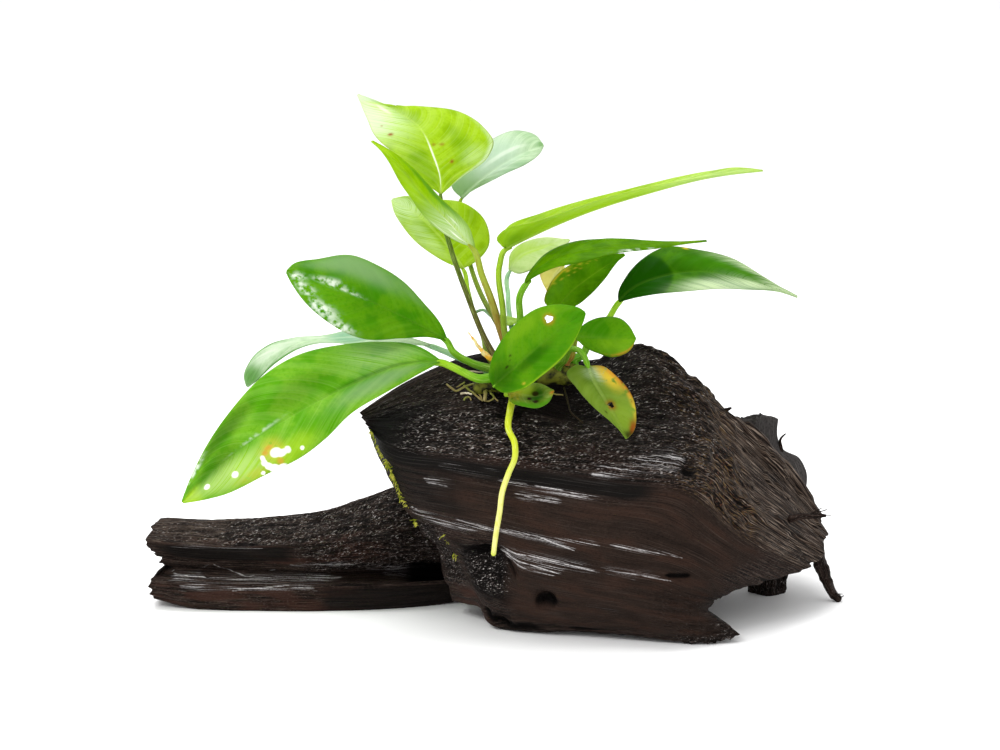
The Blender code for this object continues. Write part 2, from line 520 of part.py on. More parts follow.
def make_wood(group, cutters, root):
    """Make the block, its two limbs and the splinter, each clear of the block."""
    skin = wood_skin(BLOCK_EDGES, 22, 5, 0.5, 0.7, 3, teeth=(3.0, 3.5), dents=BLOCK_DENTS)
    block = wood_object("driftwood_block", skin, (BLOCK_LEFT_HOLLOW, BLOCK_RIGHT_HOLLOW))
    place_part(block, "wet_driftwood", group, root)
    block_room = make_cutter("block_room", bpy.data.objects.new("block_room", block.data),
                             cutters, root)
    swell = block_room.modifiers.new("room for the gap", "DISPLACE")
    swell.mid_level = 0
    swell.strength = 2 * GAP * MM

    skin = wood_skin(LIMB_EDGES, 20, 3, 0.5, 0.5, 11, teeth=(3.5, 0))
    limb = wood_object("driftwood_left_limb", skin, (LIMB_LEFT_HOLLOW, LIMB_RIGHT_HOLLOW))
    place_part(limb, "wet_driftwood", group, root)
    cut(limb, block_room)

    skin = wood_skin(REAR_LIMB_EDGES, 10, 4, 0.8, 0.5, 17, teeth=(0, 3.0))
    rear = wood_object("driftwood_rear_limb", skin, (REAR_LIMB_BOTTOM, REAR_LIMB_TOP), 1)
    place_part(rear, "wet_driftwood", group, root)
    cut(rear, block_room)

    splinter = mesh_from_curve(tube_curve("driftwood_splinter", SPLINTER, SPLINTER_RADII, 2, 7))
    place_part(splinter, "wet_driftwood", group, root)
    cut(splinter, block_room)
    return block_room


def rhizome_seat(x, angle):
    """Return a point on the rhizome's centre line and the way out at an angle."""
    line = np.array(RHIZOME, float)
    centre = np.array([x, np.interp(x, line[:, 0], line[:, 1]), np.interp(x, line[:, 0], line[:, 2])])
    turn = math.radians(angle)
    return centre, np.array([0, math.sin(turn), math.cos(turn)])


def leaf_path(leaf):
    """Return the points of a leaf's line from the rhizome to the tip, and the blade's start."""
    centre, out = rhizome_seat(*leaf["seat"])
    start = [tuple(centre + out * 1.0), tuple(centre + out * 5.5)]
    stalk = start + leaf["stalk"]
    return stalk + leaf["midrib"], len(stalk)


def chord_length(points):
    return np.linalg.norm(np.diff(np.array(points, float), axis=0), axis=1).sum()


def blade_shape(leaf, t, v):
    """Return blade points in millimetres; t runs from base to tip, v from edge to edge.

    Each point lies on the straight line from the midrib to the margin at the
    same share of their lengths. Both halves bow up between the two, and the
    margin moves in a slow wave.
    """
    base, tip = leaf["midrib"][:1], leaf["midrib"][-1:]
    left, right = (base + leaf[margin] + tip for margin in ("left", "right"))
    midrib = smooth_path(leaf["midrib"], t)
    ahead = unit(smooth_path(leaf["midrib"], t + 0.01) - smooth_path(leaf["midrib"], t - 0.01))
    inner = np.clip(t, BLADE_END_SHARE, 1 - BLADE_END_SHARE)
    side = smooth_path(right, inner) - smooth_path(left, inner)
    side = unit(side - ahead * np.sum(side * ahead, axis=1, keepdims=True))
    normal = np.cross(side, ahead)
    t, v = t[:, None], v[:, None]
    reach = np.where(v < 0, smooth_path(left, t[:, 0]), smooth_path(right, t[:, 0])) - midrib
    width = np.linalg.norm(reach, axis=1, keepdims=True)
    narrow = np.clip(1 - np.minimum(t, 1 - t) / BLADE_END_SHARE, 0, 1)
    lift = 4 * leaf["arch"] * width * np.abs(v) * (1 - np.abs(v))
    lift = lift + leaf["wave"] * np.sin(math.pi * t) * np.sin(4 * math.pi * t + 1.5 * v) * v**2
    return midrib + reach * np.abs(v) + side * v * BLADE_NARROWEST * narrow + normal * lift


def make_blade(name, leaf):
    """Make a blade from a grid bent to its shape, thickened on both sides."""
    rows = max(BLADE_ROWS_LEAST, round(chord_length(leaf["midrib"]) / BLADE_ROW_LENGTH))
    shape = bmesh.new()
    bmesh.ops.create_grid(shape, x_segments=rows, y_segments=BLADE_COLUMNS, size=1)
    flat = np.array([vert.co[:2] for vert in shape.verts])
    bent = blade_shape(leaf, (flat[:, 0] + 1) / 2, flat[:, 1]) * MM
    for vert, place in zip(shape.verts, bent):
        vert.co = Vector(place)
    mesh = bpy.data.meshes.new(name)
    shape.to_mesh(mesh)
    shape.free()
    mesh.shade_smooth()
    blade = bpy.data.objects.new(name, mesh)
    solidify = blade.modifiers.new("thickness", "SOLIDIFY")
    solidify.thickness = BLADE_THICKNESS * MM
    solidify.offset = 0
    return blade


def make_stalk(name, leaf):
    """Make a stalk as a tapering tube from inside the rhizome to just short of the blade."""
    points, split = leaf_path(leaf)
    end = path_place(points, split) - STALK_CLEARANCE / chord_length(points)
    places = np.linspace(0, end, STALK_RINGS + 1)
    line = smooth_path(points, places)
    radii = np.linspace(leaf["radii"][0], leaf["radii"][1], STALK_RINGS + 1)
    return mesh_from_curve(tube_curve(name, line, list(radii), 1, STALK_RINGS))


def make_plant(group, cutters, root, block_room):
    """Make the rhizome, its leaves, the roots, the dry sheath and the moss."""
    rhizome = tube_curve("rhizome", RHIZOME, RHIZOME_RADII, 2, 8)
    place_part(rhizome, "rhizome_skin", group, root)
    wide_radii = [radius + GAP for radius in RHIZOME_RADII]
    room = mesh_from_curve(tube_curve("rhizome_room", RHIZOME, wide_radii, 2, 8))
    rhizome_room = make_cutter("rhizome_room", room, cutters, root)

    for name, leaf in LEAVES.items():
        blade = make_blade("blade_" + name, leaf)
        place_part(blade, BLADE_FINISH.get(name, "fresh_blade"), group, root)
        stalk = make_stalk("stalk_" + name, leaf)
        place_part(stalk, STALK_FINISH.get(name, "green_stalk"), group, root)
        cut(stalk, rhizome_room)

    root_radii = [ROOT_RADIUS * 1.1, ROOT_RADIUS * 0.8]
    hanging = tube_curve("hanging_root", HANGING_ROOT, root_radii, 1, 11)
    place_part(hanging, "root_skin", group, root)
    for name, points in FINE_ROOTS.items():
        fine = tube_curve(name, points, [FINE_ROOT_RADIUS] * 2, 1, 5)
        place_part(fine, "root_skin", group, root)
    sheath = tube_curve("dry_sheath", SHEATH, SHEATH_RADII, 1, 5)
    place_part(sheath, "dry_sheath", group, root)
    moss = mesh_from_curve(tube_curve("moss_fringe", MOSS, MOSS_RADII, 1, 6))
    place_part(moss, "moss", group, root)
    cut(moss, block_room)


def main():
    clear_scene()
    group = new_collection("anubias_on_driftwood")
    cutters = new_collection("cutters")
    root = bpy.data.objects.new("footprint_middle", None)
    root.location = (-FOOTPRINT_MIDDLE[0] * MM, -FOOTPRINT_MIDDLE[1] * MM, 0)
    group.objects.link(root)
    block_room = make_wood(group, cutters, root)
    make_plant(group, cutters, root, block_room)


main()
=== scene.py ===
import math

import bpy
import numpy as np
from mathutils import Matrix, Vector
from mathutils.bvhtree import BVHTree


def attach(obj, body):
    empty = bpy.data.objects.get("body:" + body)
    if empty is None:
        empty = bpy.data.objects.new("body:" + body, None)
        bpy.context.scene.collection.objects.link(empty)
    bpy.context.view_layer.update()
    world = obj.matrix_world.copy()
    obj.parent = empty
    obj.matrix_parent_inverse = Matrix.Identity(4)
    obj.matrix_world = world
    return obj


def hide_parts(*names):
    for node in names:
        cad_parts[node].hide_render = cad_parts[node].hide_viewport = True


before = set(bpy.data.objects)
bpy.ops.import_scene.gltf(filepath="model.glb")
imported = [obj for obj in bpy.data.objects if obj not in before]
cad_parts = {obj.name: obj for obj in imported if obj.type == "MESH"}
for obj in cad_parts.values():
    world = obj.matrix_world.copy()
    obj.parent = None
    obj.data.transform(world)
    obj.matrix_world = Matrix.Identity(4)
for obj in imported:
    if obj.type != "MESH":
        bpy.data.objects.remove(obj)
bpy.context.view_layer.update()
print("packed model loaded:", len(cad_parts), "nodes")

mm = 0.001
# The points below are in millimetres: X to the right, Y away from the viewer, Z up from the floor
footprintMiddle = np.array([0.0, -0.4, 0.0])


# Camera, light and floor

studio = {
    "cameraPlace": (3.15, -961.3, 287.3),   # mm
    "cameraAim": (3.15, 16.9, 79.4),        # mm
    "lens": 102.857,                        # mm, before a sensor 36 mm wide
    "viewLimit": 50,                        # m, how far the camera sees
    "worldColour": "ffffff",
    "worldStrength": 1.0,
    "floorColour": "ffffff",
    "floorSize": 6000,                      # mm
    # place, aim and size of each light in mm, and its power in watts
    "topLight": {"place": (-150, 250, 1100), "aim": (0, 0, 60), "size": 700, "power": 8.0},
    "keyLight": {"place": (-650, -650, 900), "aim": (0, 0, 60), "size": 420, "power": 6.0},
}


def linear(code):
    # sRGB hex to linear: below 0.04045 a straight line, above it a power of 2.4
    channels = np.array([int(code[i:i + 2], 16) / 255 for i in (0, 2, 4)])
    curved = ((channels + 0.055) / 1.055) ** 2.4
    return tuple(np.where(channels <= 0.04045, channels / 12.92, curved)) + (1.0,)


def inFrame(points):
    # from the drawing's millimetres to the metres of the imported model
    return (np.asarray(points, float) - footprintMiddle) * mm


def aimAt(thing, place, aim):
    # stands a camera or lamp at the place and turns its -Z axis to the aim
    start, end = Vector(inFrame(place)), Vector(inFrame(aim))
    thing.location = start
    thing.rotation_euler = (end - start).to_track_quat("-Z", "Y").to_euler()


scene = bpy.context.scene
scene.view_settings.view_transform = "Standard"
scene.view_settings.look = "None"
cameraData = bpy.data.cameras.new("camera")
cameraData.lens = studio["lens"]
cameraData.clip_end = studio["viewLimit"]
camera = bpy.data.objects.new("camera", cameraData)
scene.collection.objects.link(camera)
aimAt(camera, studio["cameraPlace"], studio["cameraAim"])
scene.camera = camera

world = bpy.data.worlds.new("white studio")
scene.world = world
world.use_nodes = True
background = world.node_tree.nodes["Background"]
background.inputs["Color"].default_value = linear(studio["worldColour"])
background.inputs["Strength"].default_value = studio["worldStrength"]

for lightName in ("topLight", "keyLight"):
    light = studio[lightName]
    lamp = bpy.data.lights.new(lightName, "AREA")
    lamp.size = light["size"] * mm
    lamp.energy = light["power"]
    lampObject = bpy.data.objects.new(lightName, lamp)
    scene.collection.objects.link(lampObject)
    aimAt(lampObject, light["place"], light["aim"])


# Materials

def addNode(tree, kind, settings=None, inputs=None, out=0):
    # settings go to the node's own properties; inputs, by socket name or number, are links, hex colours or
    # plain values. Gives the wanted output
    node = tree.nodes.new(kind)
    for key, value in (settings or {}).items():
        setattr(node, key, value)
    for key, value in (inputs or {}).items():
        if isinstance(value, bpy.types.NodeSocket):
            tree.links.new(value, node.inputs[key])
        else:
            node.inputs[key].default_value = linear(value) if isinstance(value, str) else value
    return node.outputs[out]


def surfaceSources(tree, patterns, masks):
    # what the layers of a material are cut from: the soft masks kept at a piece's vertices, and noise
    # patterns, each with the size of its cells in mm (or in units of the surface map), a turn in degrees,
    # detail and swirl
    maps = {"skin": addNode(tree, "ShaderNodeUVMap", {"uv_map": "surface"}),
            "place": addNode(tree, "ShaderNodeTexCoord", out="Object")}
    sources = {label: addNode(tree, "ShaderNodeAttribute", {"attribute_name": label}, out="Fac")
               for label in masks}
    for label, (where, size, turn, detail, swirl) in patterns.items():
        cells = [length * (mm if where == "place" else 1) for length in size]
        placed = addNode(tree, "ShaderNodeMapping", {"vector_type": "TEXTURE"},
                         {"Vector": maps[where], "Rotation": (0, 0, math.radians(turn)), "Scale": cells})
        sources[label] = addNode(tree, "ShaderNodeTexNoise", None,
                                 {"Vector": placed, "Scale": 1.0, "Detail": detail, "Distortion": swirl})
    return sources


def paintLayers(tree, colour, layers, sources):
    # each layer covers the ones before it where its source lies between two levels, times its masks
    for over, source, low, high, share, *only in layers:
        cover = addNode(tree, "ShaderNodeMapRange", {"interpolation_type": "SMOOTHSTEP"},
                        {0: sources[source], 1: low, 2: high, 4: share})
        for label in only:
            cover = addNode(tree, "ShaderNodeMath", {"operation": "MULTIPLY"}, {0: cover, 1: sources[label]})
        colour = addNode(tree, "ShaderNodeMix", {"data_type": "RGBA"}, {0: cover, 6: colour, 7: over}, 2)
    return colour


def litThrough(tree, colour, normal, rough, shine, glow):
    # a moist plant skin, of which a share glows with the light from behind: 1.42 is the index of wet tissue
    skin = addNode(tree, "ShaderNodeBsdfPrincipled", None,
                   {"Base Color": colour, "IOR": 1.42, "Roughness": rough, "Specular IOR Level": shine,
                    "Normal": normal})
    through = addNode(tree, "ShaderNodeBsdfTranslucent", None, {"Color": colour})
    return addNode(tree, "ShaderNodeMixShader", None, {0: glow, 1: skin, 2: through})


def finishMaterial(name, build):
    # build makes the shader in the new material's tree
    material = bpy.data.materials.new(name)
    material.use_nodes = True
    tree = material.node_tree
    tree.nodes.clear()
    output = tree.nodes.new("ShaderNodeOutputMaterial")
    tree.links.new(build(tree), output.inputs[0])
    return material


print("studio and material tools ready")


# Shapes

def unit(vectors):
    # each vector over its own length
    return vectors / np.maximum(np.linalg.norm(vectors, axis=-1, keepdims=True), 1e-9)


def smoothPath(points, places):
    # a cubic through the points, read at shares of its chord length; each slope leans to the nearer chord
    p = np.array(points, float)
    chords = np.diff(p, axis=0)
    lengths = np.linalg.norm(chords, axis=1)
    marks = np.concatenate([[0], np.cumsum(lengths)])
    secants = chords / lengths[:, None]
    slopes = np.repeat(secants[:1], len(p), axis=0)
    weights = lengths[1:, None] / (lengths[:-1] + lengths[1:])[:, None]
    slopes[1:-1] = secants[:-1] * weights + secants[1:] * (1 - weights)
    slopes[0] = 1.5 * secants[0] - 0.5 * slopes[1]
    slopes[-1] = 1.5 * secants[-1] - 0.5 * slopes[-2]
    places = np.asarray(places, float)
    reach = np.clip(places, 0, 1).ravel() * marks[-1]
    k = np.clip(np.searchsorted(marks, reach, side="right") - 1, 0, len(lengths) - 1)
    h = lengths[k][:, None]
    u = ((reach - marks[k]) / lengths[k])[:, None]
    found = ((2 * u**3 - 3 * u**2 + 1) * p[k] + (u**3 - 2 * u**2 + u) * h * slopes[k]
             + (3 * u**2 - 2 * u**3) * p[k + 1] + (u**3 - u**2) * h * slopes[k + 1])
    return found.reshape(places.shape + (3,))


def chordLength(points):
    # the straight steps between the points, added up
    return np.linalg.norm(np.diff(np.array(points, float), axis=0), axis=1).sum()


def latticeNoise(x, y, seed, wrap=0):
    # random numbers on a unit lattice, blended by a smooth step; y may repeat after a whole number of cells
    x, y = np.broadcast_arrays(x, y)
    table = np.random.default_rng(seed).random((256, 256))
    xi, yi = np.floor(x).astype(int), np.floor(y).astype(int)
    fx, fy = x - xi, y - yi
    fx, fy = fx * fx * (3 - 2 * fx), fy * fy * (3 - 2 * fy)
    around = wrap or 256
    x0, x1, y0, y1 = xi % 256, (xi + 1) % 256, yi % around % 256, (yi + 1) % around % 256
    low = table[x0, y0] * (1 - fx) + table[x1, y0] * fx
    high = table[x0, y1] * (1 - fx) + table[x1, y1] * fx
    return low * (1 - fy) + high * fy


def ringPiece(name, rings, ends=None, uv=None, masks=None, gone=None):
    # rings is rows x sides x 3 in mm, every row a closed ring; each end closes to one point.
    # gone marks the cells of a leaf's upper side that a hole takes: the cells below them go as well, and a
    # rim face joins the two sides wherever a kept cell lies beside a missing one
    rows, sides = rings.shape[:2]
    ends = (rings[0].mean(0), rings[-1].mean(0)) if ends is None else ends
    points = np.concatenate([rings.reshape(-1, 3), np.array(ends, float)])
    corner = np.arange(rows * sides).reshape(rows, sides)
    beside = np.roll(corner, -1, axis=1)
    quads = np.stack([corner[:-1], beside[:-1], beside[1:], corner[1:]], -1)
    if uv is None:
        uv = np.stack(np.meshgrid(np.linspace(0, 1, rows), np.linspace(0, 1, sides + 1), indexing="ij"), -1)
    quadUv = np.stack([uv[:-1, :-1], uv[:-1, 1:], uv[1:, 1:], uv[1:, :-1]], -2)
    kept = np.ones((rows - 1, sides), bool)
    rims, rimUv = np.zeros((0, 4), int), np.zeros((0, 4, 2))
    if gone is not None:
        columns = gone.shape[1] + 1
        # the column of the underside that lies below each one of the upper side
        mirror = (2 * columns - 2 - np.arange(columns)) % sides
        mirror[0], mirror[-1] = 0, columns - 1
        kept[:, :columns - 1] = ~gone
        kept[:, mirror[1:]] = ~gone
        r, c = np.nonzero(gone[:, 1:] & ~gone[:, :-1])
        parts = [(r + 1, c + 1, r, c + 1)]
        r, c = np.nonzero(~gone[:, 1:] & gone[:, :-1])
        parts.append((r, c + 1, r + 1, c + 1))
        r, c = np.nonzero(~gone[1:] & gone[:-1])
        parts.append((r + 1, c + 1, r + 1, c))
        r, c = np.nonzero(gone[1:] & ~gone[:-1])
        parts.append((r + 1, c, r + 1, c + 1))
        ra, ca, rb, cb = (np.concatenate(part) for part in zip(*parts))
        rims = np.stack([corner[ra, ca], corner[rb, cb], corner[rb, mirror[cb]], corner[ra, mirror[ca]]], -1)
        rimUv = np.stack([uv[ra, ca], uv[rb, cb], uv[rb, cb], uv[ra, ca]], 1)
    quads = np.concatenate([quads[kept], rims])
    quadUv = np.concatenate([quadUv[kept], rimUv])
    first, last = np.full(sides, rows * sides), np.full(sides, rows * sides + 1)
    fans = np.concatenate([np.stack([beside[0], corner[0], first], -1),
                           np.stack([corner[-1], beside[-1], last], -1)])
    fanUv = np.concatenate([np.stack([uv[0, 1:], uv[0, :-1], (uv[0, 1:] + uv[0, :-1]) / 2], 1),
                            np.stack([uv[-1, :-1], uv[-1, 1:], (uv[-1, 1:] + uv[-1, :-1]) / 2], 1)])
    # six times the signed volume is negative where the faces point inwards
    a, b, c, d = (points[quads[:, i]] for i in range(4))
    e, f, g = (points[fans[:, i]] for i in range(3))
    volume = np.sum(a * np.cross(b, c)) + np.sum(a * np.cross(c, d)) + np.sum(e * np.cross(f, g))
    if volume < 0:
        quads, quadUv, fans, fanUv = quads[:, ::-1], quadUv[:, ::-1], fans[:, ::-1], fanUv[:, ::-1]
    loops = np.concatenate([quads.ravel(), fans.ravel()])
    sizes = np.concatenate([np.full(len(quads), 4), np.full(len(fans), 3)])
    mesh = bpy.data.meshes.new(name)
    mesh.vertices.add(len(points))
    mesh.vertices.foreach_set("co", inFrame(points).astype(np.float32).ravel())
    mesh.loops.add(len(loops))
    mesh.loops.foreach_set("vertex_index", loops.astype(np.int32))
    mesh.polygons.add(len(sizes))
    mesh.polygons.foreach_set("loop_start", (np.cumsum(sizes) - sizes).astype(np.int32))
    mesh.polygons.foreach_set("use_smooth", np.ones(len(sizes), bool))
    flatUv = np.concatenate([quadUv.reshape(-1, 2), fanUv.reshape(-1, 2)])
    mesh.uv_layers.new(name="surface").data.foreach_set("uv", flatUv.astype(np.float32).ravel())
    for label, values in (masks or {}).items():
        values = np.broadcast_to(values, (rows, sides))
        whole = np.concatenate([values.ravel(), [values[0].mean(), values[-1].mean()]])
        mesh.attributes.new(label, "FLOAT", "POINT").data.foreach_set("value", whole.astype(np.float32))
    mesh.update()
    mesh.validate()
    piece = bpy.data.objects.new(name, mesh)
    scene.collection.objects.link(piece)
    return piece


def settle(piece, material, slot, *nodes):
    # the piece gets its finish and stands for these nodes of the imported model
    piece.data.materials.append(material)
    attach(piece, "root")
    if nodes:
        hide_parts(*nodes)


def tubeRings(line, radii, sides):
    # a ring square to the line at each of its points; the first side is carried along without twist,
    # and a few shrinking rings round off both ends
    forward = unit(np.gradient(line, axis=0))
    radii = np.broadcast_to(np.asarray(radii, float).reshape(len(line), -1), (len(line), sides))
    bend = np.radians([75, 50, 25])[:, None]
    mean = radii.mean(1)
    headLine = line[0] - forward[0] * mean[0] * np.sin(bend)
    tailLine = line[-1] + forward[-1] * mean[-1] * np.sin(bend[::-1])
    line = np.concatenate([headLine, line, tailLine])
    radii = np.concatenate([radii[0] * np.cos(bend), radii, radii[-1] * np.cos(bend[::-1])])
    forward = np.concatenate([np.repeat(forward[:1], 3, 0), forward, np.repeat(forward[-1:], 3, 0)])
    side = np.empty_like(line)
    side[0] = unit(np.cross(forward[0], (0.31, 0.9, 0.2)))   # a direction that no tube starts in
    for i in range(1, len(line)):
        carried = side[i - 1] - forward[i] * (side[i - 1] @ forward[i])
        side[i] = carried / np.linalg.norm(carried)
    up = np.cross(forward, side)
    turn = np.arange(sides) * 2 * math.pi / sides
    ring = side[:, None] * np.cos(turn)[:, None] + up[:, None] * np.sin(turn)[:, None]
    return line[:, None] + ring * radii[:, :, None]


def tubeUv(rings):
    # mm along the tube, then mm round it
    middle = rings.mean(1)
    along = np.concatenate([[0], np.cumsum(np.linalg.norm(np.diff(middle, axis=0), axis=1))])
    girth = np.linalg.norm(np.diff(rings, axis=1), axis=2).sum(1).max()
    return np.stack(np.meshgrid(along, np.linspace(0, girth, rings.shape[1] + 1), indexing="ij"), -1)


# Driftwood

# Height of each kind of relief and its length along the grain, in mm, and what else shapes the grain
relief = {
    "terraceRelief": 1.76, "terraceLength": 60,   # layers that broke off
    "strandRelief": 0.5, "strandLength": 34,      # bundles of fibre 2 to 3 mm wide
    "fibreRelief": 0.22, "fibreLength": 16,       # fibres about 1 mm wide
    "hairRelief": 0.1, "hairLength": 7,
    "splitRelief": 2.2, "splitLength": 9,         # loose strands of the torn right face
    "lumpRelief": 3.0, "lumpLength": 4,           # rotten lumps
    "crumbRelief": 0.63, "crumbLength": 1.4,
    "streakRelief": 0.35,         # raised splinters that shine
    "glintRelief": 0.2,           # thin wet edges on them
    "hollowDepth": 0.9,           # cracks and pits
    "teethRound": 26,             # wide teeth round an end
    "fineTeeth": (2.0, 2.4),      # on a broken left end and on a broken right end
    "bristle": 2.4,               # fibres that stand out of an end
    "bristlesRound": 40,
    "endReach": 0.1,              # share of the length that an end's teeth reach back
    "crackLevel": 0.12,           # how much of the troughs between bundles is cracked
    "crackShade": 0.6,
}

# Long edges of each piece of wood, from its left end to its right end
blockEdges = {
    "ridge": [(-44, -8, 73), (-30, 0, 81), (-7, 8, 89), (14, 10, 90), (33, 10, 86),
              (52, 10, 92), (69, 12, 81.5), (82, 15, 68), (93, 18, 58), (104, 21, 45.5), (116, 24, 28)],
    "shoulder": [(-42, -16, 71), (-32, -16, 73), (-12, -14, 76), (8, -14, 76), (28, -14, 72),
                 (49, -14, 74), (71, -12, 68), (91, -4, 47), (119, 10, 22)],
    "brow": [(-41, -20, 68), (-34, -30, 65), (-17, -36, 64), (3, -40, 62), (23, -42, 60),
             (46, -42, 57), (67, -40, 54), (83, -34, 38), (110, -10, 17)],
    "lip": [(-30, -22, 42), (-22, -32, 43), (-7, -40, 42), (10, -44, 39), (28, -46, 35),
            (46, -46, 31), (63, -45, 27), (72, -40, 21), (81, -28, 14)],
    "chin": [(-19, -18, 27), (-12, -28, 27), (-4, -36, 25), (10, -42, 22), (28, -45, 19),
             (46, -48, 17), (58, -50, 15), (67, -47, 13), (73, -38, 10)],
    "foot": [(-13, -11, 5.5), (-8, -17, 6), (-3.2, -23, 6.2), (-1.5, -25, 3), (2, -28, 1), (14, -33, 1.2),
             (30, -36, 1.8), (45, -40, 1.8), (60, -43, 0.8), (73, -44, 0.4), (85, -42, 3)],
    "belly": [(-8, 2, 8), (2, -4, 1), (10, -10, -1), (18, -12, -1), (30, -12, -1),
              (44, -12, -1), (54, -14, -1), (60, -16, 0), (66, -20, 2)],
    "heel": [(-10, 18, 5), (-4, 23, 0), (6, 25, -1), (18, 26, -1), (30, 26, -1),
             (44, 26, -1), (56, 25, -1), (63, 23, 0), (68, 20, 3)],
    "low_rear": [(-20, 22, 24), (-12, 31, 25), (0, 35, 26), (15, 37, 27), (30, 38, 28),
                 (48, 38, 28), (68, 37, 28), (88, 36, 25), (106, 34, 19)],
    "high_rear": [(-40, 6, 60), (-28, 18, 66), (-8, 26, 69), (14, 28, 68), (32, 29, 64),
                  (50, 30, 68), (70, 31, 60), (92, 33, 42), (115, 31, 24)],
}

# Soft masks of the wood's skin: crumbly black with painted sparkle, smooth black, sleek brown, rims with a
# painted highlight, loose fibre, ochre rot, reddish and grey wood, painted shade, hollows blackened with
# painted shade, and shining splinters with a painted highlight and the brightest painted glints on them
woodMasks = ("char", "smooth", "sleek", "rim", "fibre", "ochre", "red", "grey", "shade", "hollow", "streakHighlight",
             "glint")

# Zones of the skin: from and to along the wood (0 to 1), from and to round it (in long edges), strength
blockZones = {
    "char": [(0.07, 0.4, 1.15, 2.0, 1.0), (0.36, 0.66, 1.15, 2.0, 0.7), (0.4, 0.68, -0.5, 1.2, 0.65),
             (0.0, 0.3, 0.3, 1.2, 0.45), (0.76, 0.92, 3.5, 4.6, 0.6), (0.16, 0.31, 3.75, 4.36, 1.0),
             (0.8, 1.0, 4.4, 5.2, 0.8), (0.0, 0.11, 3.3, 4.6, 0.7)],
    "smooth": [(0.0, 0.58, 2.05, 2.3, 1.0), (0.0, 0.09, 1.0, 2.6, 0.8), (0.0, 0.22, 2.2, 3.0, 0.6)],
    "sleek": [(0.16, 0.66, 2.34, 3.0, 0.9), (0.56, 0.88, 2.12, 3.0, 1.0), (0.3, 0.95, 2.9, 4.8, 0.9)],
    "shade": [(0.2, 0.5, -0.2, 1.12, 0.95), (0.42, 0.58, 0.7, 1.25, 0.5), (0.0, 0.14, 0.9, 2.2, 0.95),
              (0.14, 0.42, 2.02, 2.3, 0.35), (0.4, 0.62, 0.0, 0.9, 0.35), (0.38, 0.62, 1.1, 1.8, 0.4),
              (0.15, 0.32, 3.5, 4.5, 0.8), (0.14, 0.32, 3.7, 4.5, 1.0), (0.0, 0.1, 3.3, 4.5, 0.5)],
    "fibre": [(0.64, 1.05, -0.9, 2.05, 1.0), (0.3, 1.0, 7.6, 9.4, 0.5)],
    "ochre": [(0.6, 0.76, 0.9, 2.06, 0.9), (0.56, 0.72, -0.5, 0.9, 0.9), (0.66, 0.82, 1.5, 2.06, 0.8)],
    "red": [(0.35, 0.75, 2.3, 3.0, 0.6), (0.5, 0.9, 2.9, 3.9, 0.7), (0.24, 0.5, 1.6, 2.05, 0.6),
            (0.03, 0.2, 4.62, 5.0, 1.0)],
    # hollows sink a little and are blackened with painted shade
    "hollow": [(0.18, 0.28, 3.58, 3.9, 0.8), (0.23, 0.38, 4.86, 5.0, 0.9)],
}
